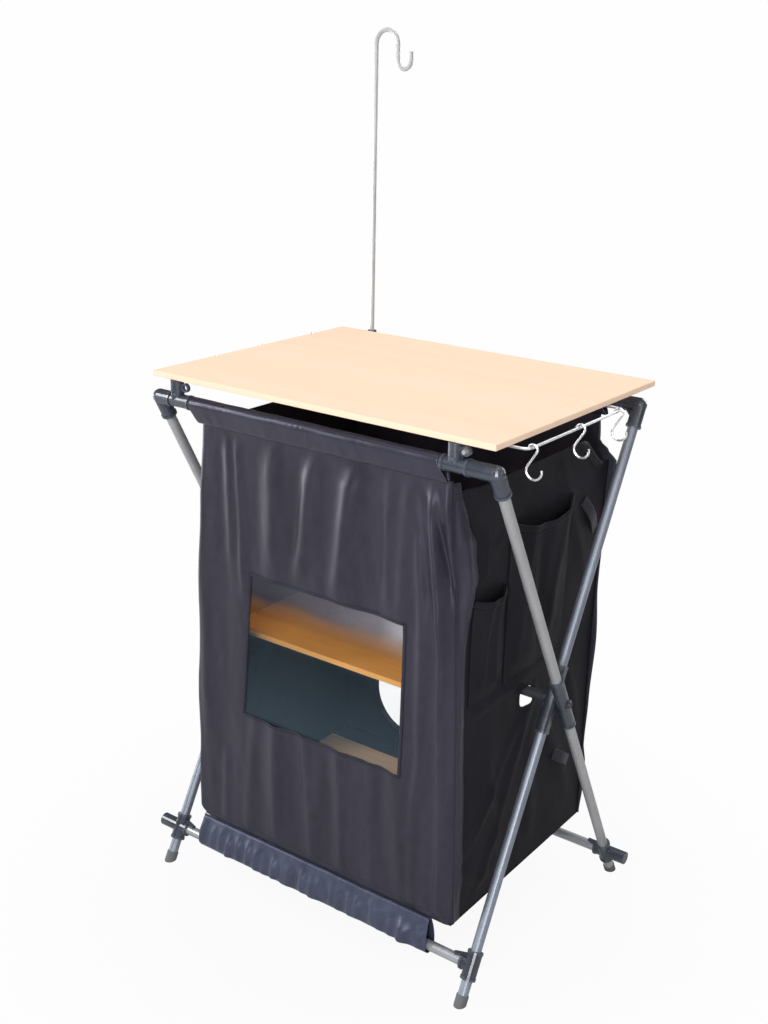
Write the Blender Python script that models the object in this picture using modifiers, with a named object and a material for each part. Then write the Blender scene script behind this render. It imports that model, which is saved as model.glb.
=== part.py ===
# Folding camp kitchen shelf: a crossed-leg tube frame with a bamboo top, a hanging
# fabric cabinet with two boards inside, two rails of hooks and a lantern pole.
# Metres, +Z up, +X to the right as seen from the front, the front faces -Y.
# The origin is on the ground, under the middle of the whole object's box.
import math

import bmesh
import bpy
from mathutils import Matrix, Vector

# Driving sizes: table top
board_length = 0.600
board_width = 0.450
board_thickness = 0.009
board_edge_round = 0.0015
board_shift = 0.006
table_height = 0.855

# Driving sizes: crossed frames
boss_height = 0.0307
rail_inset = 0.007
side_room = 0.0485
crossing_spacing = 0.0184
tube_diameter = 0.016
bottom_rail_height = 0.0515
fitting_wall = 0.0032
collar_step = 0.0008
collar_length = 0.004
elbow_socket_reach = 0.0350
elbow_leg_socket = 0.036
tee_half_length = 0.021
tee_inward = 0.0175
tee_web_reach = 0.030
tee_stub = 0.0384
foot_tip_length = 0.009
foot_tip_wall = 0.0011

# Driving sizes: pivots and the bar between them
pivot_sleeve_length = 0.104
pivot_sleeve_wall = 0.0022
pin_diameter = 0.006
pin_head_diameter = 0.012
pin_head_length = 0.0025
pin_in_bar = 0.012
bar_diameter = 0.016

# Driving sizes: brackets that carry the board
bracket_length = 0.0377
boss_inset_left = 0.0102
boss_inset_right = 0.0187
boss_diameter = 0.020
ear_reach = 0.007
ear_radius = 0.0068
ear_open_radius = 0.0042
ear_thickness = 0.005
bolt_diameter = 0.005
bolt_head_diameter = 0.009
bolt_head_length = 0.005

# Driving sizes: hook rails, hooks and lantern pole
wire_diameter = 0.004
wire_reach = 0.0215
wire_under_board = 0.050
wire_corner = 0.010
wire_front = -0.184
wire_back = 0.078
hook_wire = 0.0032
hook_top_radius = 0.0065
hook_bottom_radius = 0.0115
hook_drop = 0.0284
hook_lean = 0.003
hook_from_corner = 0.003
middle_hook = -0.046
pole_diameter = 0.007
pole_beside_boss = 0.0160
pole_rise = 0.4925
crook_radius = 0.0215
crook_drop = 0.0248
tip_radius = 0.013
tip_rise = 0.0142
socket_wall = 0.0038
socket_depth = 0.018
socket_floor = 0.004
socket_arm = 0.044
socket_plate = 0.005

# Driving sizes: fabric cabinet
cabinet_width = 0.495
back_set = 0.022
floor_above_rail = 0.0485
side_drop = 0.043
header_hem = 0.025
header_end_gap = 0.001
curtain_top_left_inset = 0.0475
curtain_top_right_inset = 0.0115
curtain_bottom_left_extra = 0.0065
fabric_thickness = 0.0016
wall_sag = 0.0024
fold_depth = 0.0056
corner_slant = 0.080
back_corner_dip = 0.050
back_top_inset = 0.0235
window_left = -0.132
window_width = 0.2905
window_drop = 0.223
window_height = 0.242
window_lean_left = 0.027
window_lean_right = 0.010
window_film = 0.0006
bottom_sleeve_left_reach = 0.250
bottom_sleeve_right_reach = 0.212
slit_front = 0.024
slit_back = 0.013
slit_below_pivot = 0.0225
slit_above_pivot = 0.0100
back_opening_half = 0.180
back_opening_above_floor = 0.030
back_opening_below_pivot = 0.0115
back_opening_round = 0.075
upper_pocket_front = -0.075
upper_pocket_width = 0.168
upper_pocket_drop = 0.072
upper_pocket_height = 0.252
upper_pocket_bulge = 0.020
lower_pocket_front = -0.168
lower_pocket_width = 0.085
lower_pocket_drop = 0.162
lower_pocket_height = 0.162
lower_pocket_bulge = 0.014

# Driving sizes: boards inside the cabinet
shelf_depth = 0.250
shelf_thickness = 0.009
floor_board_depth = 0.280
floor_board_thickness = 0.006
fold_strip_width = 0.014

# Clearances
seat_gap = 0.0003
bore_gap = 0.0003
shelf_side_gap = 0.0010
tube_sides = 20
small_sides = 12

# Values worked out from the driving sizes
half_cabinet = cabinet_width / 2
half_span = half_cabinet + side_room
half_crossing = crossing_spacing / 2
board_bottom = table_height - board_thickness
board_back = board_width / 2
rail_height = board_bottom - seat_gap - boss_height
rail_reach = board_back - rail_inset
pivot_height = rail_height / 2
tube_radius = tube_diameter / 2
fitting_radius = tube_radius + fitting_wall
bore_radius = tube_radius + bore_gap
collar_radius = fitting_radius + collar_step
leg_angle = math.atan2(rail_reach, pivot_height)
bottom_rail_reach = rail_reach * (1 - bottom_rail_height / pivot_height)
bracket_outer_end = half_span - elbow_socket_reach - seat_gap
bracket_inner_end = bracket_outer_end - bracket_length
boss_left = -(bracket_outer_end - boss_inset_left)
boss_right = bracket_outer_end - boss_inset_right
wire_height = board_bottom - seat_gap - wire_diameter / 2
hook_radius = hook_wire / 2
hook_seat = wire_diameter / 2 + seat_gap + hook_radius
first_hook = wire_front + wire_corner + hook_from_corner
last_hook = wire_back - wire_corner - hook_from_corner
right_hook_places = (first_hook, middle_hook, last_hook)
left_hook_places = (-last_hook, -middle_hook, -first_hook)
pole_radius = pole_diameter / 2
pole_place = boss_left + pole_beside_boss
pole_top = table_height + pole_rise
socket_radius = pole_radius + bore_gap + socket_wall
pole_back = board_back + seat_gap + socket_radius
socket_bottom = board_bottom - socket_depth
sleeve_radius = tube_radius + seat_gap
header_reach = bracket_inner_end - header_end_gap
cabinet_floor_height = bottom_rail_height + floor_above_rail
cabinet_back = rail_reach - back_set
curtain_top_height = rail_height - header_hem
side_top_height = rail_height - side_drop
curtain_left_top = -(half_cabinet - curtain_top_left_inset)
curtain_right_top = half_cabinet - curtain_top_right_inset
curtain_left_bottom = -(half_cabinet + curtain_bottom_left_extra)
window_right = window_left + window_width
window_top = curtain_top_height - window_drop
window_bottom = window_top - window_height
upper_pocket_top = side_top_height - upper_pocket_drop
lower_pocket_top = side_top_height - lower_pocket_drop
back_opening_bottom = cabinet_floor_height + back_opening_above_floor
back_opening_top = pivot_height - back_opening_below_pivot
slit_bottom = pivot_height - slit_below_pivot
slit_top = pivot_height + slit_above_pivot
shelf_width = cabinet_width - 2 * (2 * fabric_thickness + wall_sag + shelf_side_gap)
floor_board_width = shelf_width
shelf_bottom = pivot_height + bar_diameter / 2 + seat_gap
floor_board_bottom = cabinet_floor_height + fabric_thickness + seat_gap

# The two frames: which way each runs, and the side it is shifted to.
# Frame a goes from the front top to the back foot, frame b from the back top.
frames = {"a": {"front": -1, "shift": half_crossing}, "b": {"front": 1, "shift": -half_crossing}}


def clear_scene():
    for thing in list(bpy.data.objects):
        bpy.data.objects.remove(thing, do_unlink=True)


def new_collection(name):
    collection = bpy.data.collections.new(name)
    bpy.context.scene.collection.children.link(collection)
    return collection


def new_material(name, colour, roughness, metallic=0.0, alpha=1.0):
    material = bpy.data.materials.new(name)
    material.use_nodes = True
    shader = material.node_tree.nodes["Principled BSDF"]
    shader.inputs["Base Color"].default_value = (*colour, 1.0)
    shader.inputs["Roughness"].default_value = roughness
    shader.inputs["Metallic"].default_value = metallic
    shader.inputs["Alpha"].default_value = alpha
    return material


def box_middle():
    """The middle of the whole object's box, which the origin is set under."""
    left = -(half_span + half_crossing + tee_stub)
    hook_out = hook_lean + hook_bottom_radius + hook_radius
    right = max(-left, board_shift + board_length / 2 + wire_reach + hook_out)
    front = -(rail_reach + collar_radius)
    back = pole_back + socket_radius
    return Vector(((left + right) / 2, (front + back) / 2, 0))


clear_scene()
parts = new_collection("folding_camp_shelf")
cutters = new_collection("cutters")

bamboo = new_material("bamboo", (0.86, 0.68, 0.45), 0.5)
grey_tube = new_material("grey_tube", (0.42, 0.43, 0.45), 0.35, 0.7)
fitting_plastic = new_material("fitting_plastic", (0.10, 0.11, 0.13), 0.45)
foot_rubber = new_material("foot_rubber", (0.05, 0.05, 0.05), 0.8)
bright_steel = new_material("bright_steel", (0.70, 0.71, 0.72), 0.2, 1.0)
dark_steel = new_material("dark_steel", (0.06, 0.06, 0.07), 0.4, 0.9)
pole_steel = new_material("pole_steel", (0.62, 0.62, 0.62), 0.35, 0.9)
slate_fabric = new_material("slate_fabric", (0.045, 0.045, 0.065), 0.6)
clear_film = new_material("clear_film", (0.75, 0.80, 0.80), 0.1, 0.0, 0.3)
floor_panel = new_material("floor_panel", (0.72, 0.62, 0.48), 0.6)

origin = bpy.data.objects.new("shelf_origin", None)
origin.location = -box_middle()
parts.objects.link(origin)


def place(thing, name, material=None):
    """Name an object, put it in the shelf's collection and hang it on the origin."""
    thing.name = name
    thing.data.name = name
    if material is None:
        cutters.objects.link(thing)
        thing.hide_render = True
        thing.display_type = "WIRE"
    else:
        parts.objects.link(thing)
        thing.data.materials.append(material)
    thing.parent = origin
    return thing


def object_from(mesh_maker, name, location, rotation=None, material=None):
    mesh = bpy.data.meshes.new(name)
    shape = bmesh.new()
    mesh_maker(shape)
    shape.to_mesh(mesh)
    shape.free()
    thing = bpy.data.objects.new(name, mesh)
    thing.location = location
    if rotation is not None:
        thing.rotation_mode = "QUATERNION"
        thing.rotation_quaternion = rotation
    return place(thing, name, material)


def smooth(thing, angle=35):
    mesh = thing.data
    mesh.shade_smooth()
    mesh.set_sharp_from_angle(angle=math.radians(angle))
    return thing


def rod(name, start, end, radius, material=None, sides=tube_sides, end_radius=None):
    """A round rod or cone between two points."""
    start = Vector(start)
    end = Vector(end)
    run = end - start
    far_radius = radius if end_radius is None else end_radius

    def make(shape):
        bmesh.ops.create_cone(shape, cap_ends=True, segments=sides, radius1=radius,
                              radius2=far_radius, depth=run.length)

    thing = object_from(make, name, (start + end) / 2, run.to_track_quat("Z", "Y"), material)
    return smooth(thing)


def ball(name, centre, radius, material=None):
    def make(shape):
        bmesh.ops.create_uvsphere(shape, u_segments=tube_sides, v_segments=10, radius=radius)

    return smooth(object_from(make, name, centre, None, material))


def block(name, low, high, material=None, edge=0.0):
    """A box between two corners, with rounded edges where an edge is given."""
    low = Vector(low)
    high = Vector(high)

    def make(shape):
        bmesh.ops.create_cube(shape, size=1, matrix=Matrix.Diagonal((*(high - low), 1)))

    thing = object_from(make, name, (low + high) / 2, None, material)
    if edge > 0:
        bevel = thing.modifiers.new("edges", "BEVEL")
        bevel.width = edge
        bevel.segments = 2
        bevel.limit_method = "ANGLE"
    return thing


def combine(thing, other, operation):
    modifier = thing.modifiers.new(other.name, "BOOLEAN")
    modifier.object = other
    modifier.operation = operation
    modifier.solver = "EXACT"


def add(thing, others):
    for other in others:
        combine(thing, other, "UNION")


def cut(thing, others):
    for other in others:
        combine(thing, other, "DIFFERENCE")


def bent_wire(name, points, radius, material, resolution=2):
    """A round wire along a list of points."""
    curve = bpy.data.curves.new(name, "CURVE")
    curve.dimensions = "3D"
    curve.bevel_depth = radius
    curve.bevel_resolution = resolution
    curve.use_fill_caps = True
    spline = curve.splines.new("POLY")
    spline.points.add(len(points) - 1)
    for point, place_at in zip(spline.points, points):
        point.co = (*place_at, 1)
    return place(bpy.data.objects.new(name, curve), name, material)


def arc(centre, radius, start, end, steps):
    """Points of an arc in the plane of X and Z, with angles in degrees."""
    points = []
    for step in range(steps + 1):
        angle = math.radians(start + (end - start) * step / steps)
        offset = Vector((math.cos(angle), 0, math.sin(angle))) * radius
        points.append(Vector(centre) + offset)
    return points


def sheet(name, surface, columns, rows, material, thickness=fabric_thickness):
    """A cloth sheet: a grid laid on surface(across, up), then given its thickness."""
    mesh = bpy.data.meshes.new(name)
    shape = bmesh.new()
    bmesh.ops.create_grid(shape, x_segments=columns, y_segments=rows, size=0.5)
    for vertex in shape.verts:
        vertex.co = surface(vertex.co.x + 0.5, vertex.co.y + 0.5)
    shape.to_mesh(mesh)
    shape.free()
    mesh.shade_smooth()
    thing = place(bpy.data.objects.new(name, mesh), name, material)
    solid = thing.modifiers.new("thickness", "SOLIDIFY")
    solid.thickness = thickness
    solid.offset = 0
    return thing


def mix(low, high, share):
    return low + (high - low) * share


# Frame geometry

def leg_side(frame, side):
    """The X of a leg's axis: side is -1 on the left and 1 on the right."""
    return frames[frame]["shift"] + side * half_span


def leg_axis_point(frame, side, height):
    """A point on a leg's axis at a height."""
    toward = frames[frame]["front"] * rail_reach
    share = (height - pivot_height) / pivot_height
    return Vector((leg_side(frame, side), toward * share, height))


def leg_direction(frame):
    """The unit direction up along a leg."""
    return Vector((0, frames[frame]["front"] * rail_reach, pivot_height)).normalized()


def is_outer(frame, side):
    return frames[frame]["shift"] * side > 0


def rail_line(frame, height, left_end, right_end):
    axis = leg_axis_point(frame, 1, height)
    return Vector((left_end, axis.y, height)), Vector((right_end, axis.y, height))


# Tubes

def build_rails():
    """The four cross rails, each ending just short of the leg's axis in its fitting."""
    short = tube_radius + bore_gap + 0.0025
    for frame, word in (("a", "front"), ("b", "back")):
        left = leg_side(frame, -1) + short
        right = leg_side(frame, 1) - short
        start, end = rail_line(frame, rail_height, left, right)
        rod(word + "_top_rail", start, end, tube_radius, grey_tube)
    for frame, word in (("b", "front"), ("a", "back")):
        left = leg_side(frame, -1) + short
        right = leg_side(frame, 1) - short
        start, end = rail_line(frame, bottom_rail_height, left, right)
        rod(word + "_bottom_rail", start, end, tube_radius, grey_tube)


def pin_hole(name, side, clearance):
    reach = half_span + half_crossing + 0.05
    inner = half_span - half_crossing - 0.05
    return rod(name, (side * inner, 0, pivot_height), (side * reach, 0, pivot_height),
               pin_diameter / 2 + clearance, None, small_sides)


def build_leg(frame, side, word, hole):
    """A leg tube, from inside its elbow to inside its rubber tip, holed for the pin."""
    top = leg_axis_point(frame, side, rail_height)
    up = leg_direction(frame)
    tube_top = top - up * (fitting_radius + 0.001)
    foot = leg_axis_point(frame, side, 0)
    tube_end = foot + up * (tube_radius * math.tan(leg_angle) + foot_tip_wall + seat_gap)
    leg = rod(f"leg_{frame}_{word}", tube_end, tube_top, tube_radius, grey_tube)
    cut(leg, [hole])
    return leg


# Moulded fittings

def collar(name, centre, direction, radius):
    half = Vector(direction) * collar_length / 2
    return rod(name, Vector(centre) - half, Vector(centre) + half, radius)


def build_elbow(frame, side, word):
    """A corner elbow: rail sleeve, leg socket, a round corner, collars and a web."""
    name = f"elbow_{frame}_{word}"
    corner = leg_axis_point(frame, side, rail_height)
    up = leg_direction(frame)
    inward = Vector((-side, 0, 0))
    rail_end = Vector((side * (half_span - elbow_socket_reach), corner.y, corner.z))
    leg_end = corner - up * elbow_leg_socket
    body = rod(name, corner, rail_end, fitting_radius, fitting_plastic)
    socket = rod(name + "_socket", leg_end, corner, fitting_radius - 0.0004)
    crown = ball(name + "_crown", corner, fitting_radius + 0.0001)
    ring = collar(name + "_rail_ring", rail_end - inward * collar_length / 2, inward, collar_radius)
    leg_ring = collar(name + "_leg_ring", leg_end + up * collar_length / 2, up, collar_radius)
    web = build_web(name + "_web", corner, inward, up)
    add(body, [socket, crown, ring, leg_ring, web])
    rail_bore = rod(name + "_rail_bore", corner + inward * (tube_radius + 0.002),
                    rail_end + inward * 0.01, bore_radius)
    leg_bore = rod(name + "_leg_bore", corner - up * fitting_radius, leg_end - up * 0.01, bore_radius)
    cut(body, [rail_bore, leg_bore])
    return smooth(body)


def build_web(name, corner, inward, up):
    """A thin stiffening web in the inside of a fitting's corner."""
    rail_side = corner + inward * (fitting_radius + 0.016)
    leg_side_point = corner - up * (fitting_radius + 0.014)
    return rod(name, rail_side, leg_side_point, 0.0035, None, 8)


def build_tee(frame, side, word):
    """A bottom tee: a sleeve on the leg, a socket for the rail, and a stub on one."""
    name = f"tee_{frame}_{word}"
    centre = leg_axis_point(frame, side, bottom_rail_height)
    up = leg_direction(frame)
    inward = Vector((-side, 0, 0))
    low = centre - up * tee_half_length
    high = centre + up * tee_half_length
    body = rod(name, low, high, fitting_radius, fitting_plastic)
    rail_end = centre + inward * tee_inward
    socket = rod(name + "_socket", centre, rail_end, fitting_radius - 0.0004)
    ring = collar(name + "_rail_ring", rail_end - inward * collar_length / 2, inward, collar_radius)
    low_ring = collar(name + "_low_ring", low + up * collar_length / 2, up, collar_radius)
    high_ring = collar(name + "_high_ring", high - up * collar_length / 2, up, collar_radius)
    web_foot = centre + inward * tee_web_reach + Vector((0, 0, tube_radius))
    web = rod(name + "_web", web_foot, high - up * tube_radius, fitting_wall * 1.25, None, 8)
    pieces = [socket, ring, low_ring, high_ring, web]
    if is_outer(frame, side):
        stub_end = centre - inward * tee_stub
        pieces.append(rod(name + "_stub", centre, stub_end, fitting_radius - 0.0008))
    add(body, pieces)
    leg_bore = rod(name + "_leg_bore", low - up * 0.01, high + up * 0.01, bore_radius)
    rail_bore = rod(name + "_rail_bore", centre + inward * (tube_radius + 0.002),
                    centre + inward * (tee_web_reach + 0.02), bore_radius)
    cut(body, [leg_bore, rail_bore])
    return smooth(body)


def build_foot(frame, side, word):
    """A rubber tip on the end of a leg, cut flat on the ground."""
    name = f"foot_tip_{frame}_{word}"
    foot = leg_axis_point(frame, side, 0)
    up = leg_direction(frame)
    slant = tube_radius * math.tan(leg_angle) + foot_tip_wall
    radius = tube_radius + bore_gap + foot_tip_wall
    tip = rod(name, foot - up * 0.012, foot + up * (slant + foot_tip_length), radius, foot_rubber)
    bore = rod(name + "_bore", foot + up * slant, foot + up * (slant + foot_tip_length + 0.01), bore_radius)
    spread = Vector((0.05, 0.05, 0.04))
    ground = block(name + "_ground", foot - spread, foot + Vector((0.05, 0.05, 0)))
    cut(tip, [bore, ground])
    return smooth(tip)


def build_pivot_sleeve(frame, side, word, hole):
    """A sleeve round a leg at the crossing, flat where it turns on the other one."""
    name = f"pivot_sleeve_{frame}_{word}"
    centre = leg_axis_point(frame, side, pivot_height)
    up = leg_direction(frame)
    radius = tube_radius + bore_gap + pivot_sleeve_wall
    low = centre - up * pivot_sleeve_length / 2
    high = centre + up * pivot_sleeve_length / 2
    body = rod(name, low, high, radius, fitting_plastic)
    low_ring = collar(name + "_low_ring", low + up * collar_length / 2, up, radius + collar_step)
    high_ring = collar(name + "_high_ring", high - up * collar_length / 2, up, radius + collar_step)
    outward = side if is_outer(frame, side) else -side
    boss_reach = radius + 0.0012
    boss = rod(name + "_boss", centre, centre + Vector((outward * boss_reach, 0, 0)),
               pin_head_diameter / 2 + 0.0015)
    add(body, [low_ring, high_ring, boss])
    bore = rod(name + "_bore", low - up * 0.01, high + up * 0.01, bore_radius)
    parting = side * half_span
    near = parting + outward * seat_gap
    far = parting - outward * 0.04
    reach = pivot_sleeve_length
    flat = block(name + "_flat", (min(near, far), -reach, pivot_height - reach),
                 (max(near, far), reach, pivot_height + reach))
    cut(body, [bore, flat, hole])
    return smooth(body)


def boss_face(side, outer):
    """The X of the outer face of the pivot boss on the outer or the inner leg."""
    radius = tube_radius + bore_gap + pivot_sleeve_wall + 0.0012
    shift = half_crossing if outer else -half_crossing
    return side * (half_span + shift + (radius if outer else -radius))


def build_pivot_pin(side, word):
    """A headed pin through both legs at a crossing, seated in the end of the bar."""
    bar_end = boss_face(side, False) - side * seat_gap
    inner = bar_end - side * pin_in_bar
    outer = boss_face(side, True) + side * seat_gap
    pin = rod("pivot_pin_" + word, (inner, 0, pivot_height), (outer, 0, pivot_height),
              pin_diameter / 2, dark_steel, small_sides)
    head_end = outer + side * pin_head_length
    head = rod("pivot_head_" + word, (outer - side * 0.0001, 0, pivot_height), (head_end, 0, pivot_height),
               pin_head_diameter / 2, None, tube_sides, pin_head_diameter / 2 - 0.0015)
    add(pin, [head])
    return smooth(pin)


def build_cross_bar():
    """The bar from pivot to pivot that the middle shelf lies on."""
    left = boss_face(-1, False) + seat_gap
    right = boss_face(1, False) - seat_gap
    bar = rod("cross_bar", (left, 0, pivot_height), (right, 0, pivot_height),
              bar_diameter / 2, fitting_plastic)
    for side, end in ((-1, left), (1, right)):
        seat = rod(f"cross_bar_seat_{side}", (end + side * 0.005, 0, pivot_height),
                   (end - side * (pin_in_bar + seat_gap), 0, pivot_height),
                   pin_diameter / 2 + bore_gap, None, small_sides)
        cut(bar, [seat])
    return bar


def build_bracket(frame, side, word):
    """A clamp on a top rail with an upright boss and an ear, which carry the board."""
    name = f"rail_bracket_{word}"
    middle = boss_right if side > 0 else boss_left
    rail = leg_axis_point(frame, side, rail_height)
    inner = Vector((side * bracket_inner_end, rail.y, rail_height))
    outer = Vector((side * bracket_outer_end, rail.y, rail_height))
    outward = Vector((side, 0, 0))
    body = rod(name, inner, outer, fitting_radius - 0.0010, fitting_plastic)
    ring = collar(name + "_ring", inner + outward * collar_length / 2, outward, fitting_radius)
    centre = Vector((middle, rail.y, rail_height))
    top = Vector((middle, rail.y, board_bottom - seat_gap))
    boss = rod(name + "_boss", centre, top, boss_diameter / 2)
    neck_start = centre + Vector((0, 0, fitting_radius - 0.003))
    neck = rod(name + "_neck", neck_start, neck_start + Vector((0, 0, 0.0045)), boss_diameter / 2)
    neck.scale = (0.8, 1.15, 1)
    ear = build_ear(name + "_ear", frame, middle, rail.y)
    add(body, [boss, neck, ear, ring])
    rail_bore = rod(name + "_rail_bore", inner - outward * 0.01, outer + outward * 0.01, bore_radius)
    ear_hole_at = ear_middle(frame, middle, rail.y)
    across = Vector((0, ear_thickness, 0))
    bolted = side == ear_way(frame)
    hole_radius = bolt_diameter / 2 + bore_gap if bolted else ear_open_radius
    ear_hole = rod(name + "_ear_hole", ear_hole_at - across, ear_hole_at + across,
                   hole_radius, None, small_sides)
    cut(body, [rail_bore, ear_hole])
    return smooth(body)


def ear_way(frame):
    """The frames are the same turned round, so the ears of the back one face left."""
    return -frames[frame]["front"]


def ear_middle(frame, middle, reach):
    height = mix(rail_height + fitting_radius, board_bottom, 0.5)
    return Vector((middle + ear_way(frame) * (boss_diameter / 2 + ear_reach), reach, height))


def build_ear(name, frame, middle, reach):
    """A flat eye beside the boss, joined to it by a short arm."""
    centre = ear_middle(frame, middle, reach)
    half = Vector((0, ear_thickness / 2, 0))
    eye = rod(name, centre - half, centre + half, ear_radius)
    arm_half = Vector((0, ear_thickness / 2, ear_radius * 0.8))
    root = Vector((middle, reach, centre.z))
    low = Vector((min(root.x, centre.x), reach - arm_half.y, centre.z - arm_half.z))
    high = Vector((max(root.x, centre.x), reach + arm_half.y, centre.z + arm_half.z))
    arm = block(name + "_arm", low, high)
    add(eye, [arm])
    return eye


def build_bolt(frame, side, word):
    """A domed steel bolt in the ear of one bracket of each rail."""
    middle = boss_right if side > 0 else boss_left
    at = ear_middle(frame, middle, leg_axis_point(frame, side, rail_height).y)
    half = Vector((0, ear_thickness / 2 + seat_gap, 0))
    bolt = rod("bracket_bolt_" + word, at - half, at + half, bolt_diameter / 2, bright_steel, small_sides)
    for end, way in (("front", -1), ("back", 1)):
        face = at + half * way
        tip = face + Vector((0, way * bolt_head_length, 0))
        head = rod(f"bolt_{end}_{word}", face - Vector((0, way * 0.0001, 0)), tip,
                   bolt_head_diameter / 2, None, small_sides, bolt_head_diameter / 3.2)
        add(bolt, [head])
    return smooth(bolt)


# Table top, hook rails, hooks and lantern pole

def build_board():
    half = Vector((board_length / 2, board_width / 2, board_thickness / 2))
    centre = Vector((board_shift, 0, table_height - board_thickness / 2))
    return block("table_board", centre - half, centre + half, bamboo, board_edge_round)


def wire_side(side):
    return board_shift + side * (board_length / 2 + wire_reach)


def build_hook_rail(side, word):
    """A bent wire under the board's end: two legs and a run along the edge."""
    run = wire_side(side)
    front, back = (wire_front, wire_back) if side > 0 else (-wire_back, -wire_front)
    start = board_shift + side * (board_length / 2 - wire_under_board)
    points = [Vector((start, front, wire_height))]
    points += corner_points(Vector((run, front, wire_height)), side, 1)
    points += reversed(corner_points(Vector((run, back, wire_height)), side, -1))
    points.append(Vector((start, back, wire_height)))
    return bent_wire("hook_rail_" + word, points, wire_diameter / 2, bright_steel)


def corner_points(corner, side, way):
    """The points of a rounded corner, from the leg of the wire to its run."""
    centre = corner + Vector((-side, way, 0)) * wire_corner
    points = []
    for step in range(5):
        turn = math.radians(90 * step / 4)
        out = Vector((side * math.sin(turn), -way * math.cos(turn), 0))
        points.append(centre + out * wire_corner)
    return points


def hook_points():
    """An S-hook in the plane of X and Z, hung on a wire at its own origin."""
    top_centre = Vector((0, 0, hook_seat - hook_top_radius))
    bottom_centre = Vector((hook_lean, 0, top_centre.z - hook_drop))
    points = arc(top_centre, hook_top_radius, 190, -35, 8)
    points += arc(bottom_centre, hook_bottom_radius, 140, 375, 10)
    return points


def build_hooks(side, word, places):
    for number, where in enumerate(places, 1):
        hook = bent_wire(f"s_hook_{word}_{number}", hook_points(), hook_radius, bright_steel, 1)
        hook.location = (wire_side(side), where, wire_height)
        if side < 0:
            hook.rotation_euler = (0, 0, math.pi)


def build_pole():
    """The lantern pole: a straight rod, a crook over the top and a small upturned tip."""
    crook = Vector((pole_place + crook_radius, pole_back, pole_top - pole_radius - crook_radius))
    inner = Vector((crook.x + crook_radius, pole_back, crook.z - crook_drop))
    tip = inner + Vector((tip_radius, 0, 0))
    bottom = socket_bottom + socket_floor + seat_gap
    points = [Vector((pole_place, pole_back, bottom))]
    points += arc(crook, crook_radius, 180, 0, 10)
    points += arc(tip, tip_radius, 180, 360, 8)
    points.append(points[-1] + Vector((0, 0, tip_rise)))
    return bent_wire("lantern_pole", points, pole_radius, pole_steel)


def build_pole_socket():
    """The cup behind the board's back edge that the pole stands in."""
    foot = Vector((pole_place, pole_back, socket_bottom))
    top = Vector((pole_place, pole_back, table_height))
    cup = rod("pole_socket", foot, top, socket_radius, fitting_plastic)
    plate_top = board_bottom - seat_gap
    arm = block("pole_socket_arm", (pole_place, board_back + seat_gap, plate_top - socket_plate),
                (pole_place + socket_arm, pole_back + socket_radius * 0.6, plate_top))
    plate = block("pole_socket_plate", (pole_place + socket_arm / 2, board_back - socket_arm / 2,
                                        plate_top - socket_plate),
                  (pole_place + socket_arm, pole_back, plate_top))
    add(cup, [arm, plate])
    bore = rod("pole_socket_bore", foot + Vector((0, 0, socket_floor)), top + Vector((0, 0, 0.01)),
               pole_radius + bore_gap)
    cut(cup, [bore])
    return smooth(cup)


# Fabric cabinet

def front_reach(height):
    """The Y of the front cloth's middle at a height: it leans in toward the bottom."""
    share = (height - cabinet_floor_height) / (curtain_top_height - cabinet_floor_height)
    return -mix(bottom_rail_reach, rail_reach, share)


def soft_folds(across, up):
    """The depth of the front curtain's upright folds."""
    deep = fold_depth * (0.54 * math.sin(across * 41 + 1.5 * up) + 0.46 * math.sin(across * 23 + 0.8))
    edge = math.sin(math.pi * across) ** 0.5
    window = math.exp(-((across - 0.5) / 0.30) ** 4 - ((up - 0.50) / 0.24) ** 4)
    loose = 1 - up ** 10 - (1 - up) ** 10
    return deep * edge * loose * (1 - 0.85 * window)


def front_curtain_surface(across, up):
    height = mix(cabinet_floor_height, curtain_top_height, up)
    reach = front_reach(height) - soft_folds(across, up)
    along = mix(curtain_edge(-1, height), curtain_edge(1, height), across)
    return Vector((along, reach, height))


def window_outline(grow, depth):
    """A leaning panel for the window, grown by a margin, as a cutter or a pane."""

    def make(shape):
        bmesh.ops.create_cube(shape, size=1)
        for vertex in shape.verts:
            right = vertex.co.x > 0
            top = vertex.co.z > 0
            height = window_top + grow if top else window_bottom - grow
            share = (height - window_bottom) / window_height
            left_edge = window_left - grow + window_lean_left * (share - 0.5)
            right_edge = window_right + grow + window_lean_right * (share - 0.5)
            vertex.co.x = right_edge if right else left_edge
            vertex.co.z = height
            vertex.co.y = front_reach(height) + vertex.co.y * depth

    return make


def build_front_curtain():
    curtain = sheet("front_curtain", front_curtain_surface, 44, 12, slate_fabric)
    hole = object_from(window_outline(0, 12 * fold_depth), "window_hole", (0, 0, 0))
    cut(curtain, [hole])
    return curtain


def build_window_pane():
    """The clear film, seated in the curtain's window."""
    return object_from(window_outline(-seat_gap, window_film), "window_pane",
                       (0, 0, 0), None, clear_film)


def wrap_path(up, front, back, radius, centre_height, near):
    """A path up the front, over a rail and down its back, in the plane of Y and Z.

    Its two ends close in to near, so that they pinch what hangs between them.
    """
    if up < 0.28:
        share = up / 0.28
        return Vector((0, -mix(near, radius, math.sqrt(share)), centre_height - front * (1 - share)))
    if up < 0.74:
        turn = math.pi * (up - 0.28) / 0.46
        return Vector((0, -radius * math.cos(turn), centre_height + radius * math.sin(turn)))
    share = (up - 0.74) / 0.26
    return Vector((0, mix(radius, near, share * share), centre_height - back * share))


def header_surface(frame, facing, across, up):
    """A header: a sleeve over a top rail with a short hem on the outside and inside."""
    radius = sleeve_radius + fabric_thickness / 2 + 0.0006
    hem = header_hem - seat_gap
    point = wrap_path(up, hem, hem, radius, rail_height, fabric_thickness + seat_gap)
    reach = leg_axis_point(frame, 1, rail_height).y
    return Vector((mix(-header_reach, header_reach, across), reach + facing * point.y, point.z))


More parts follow.
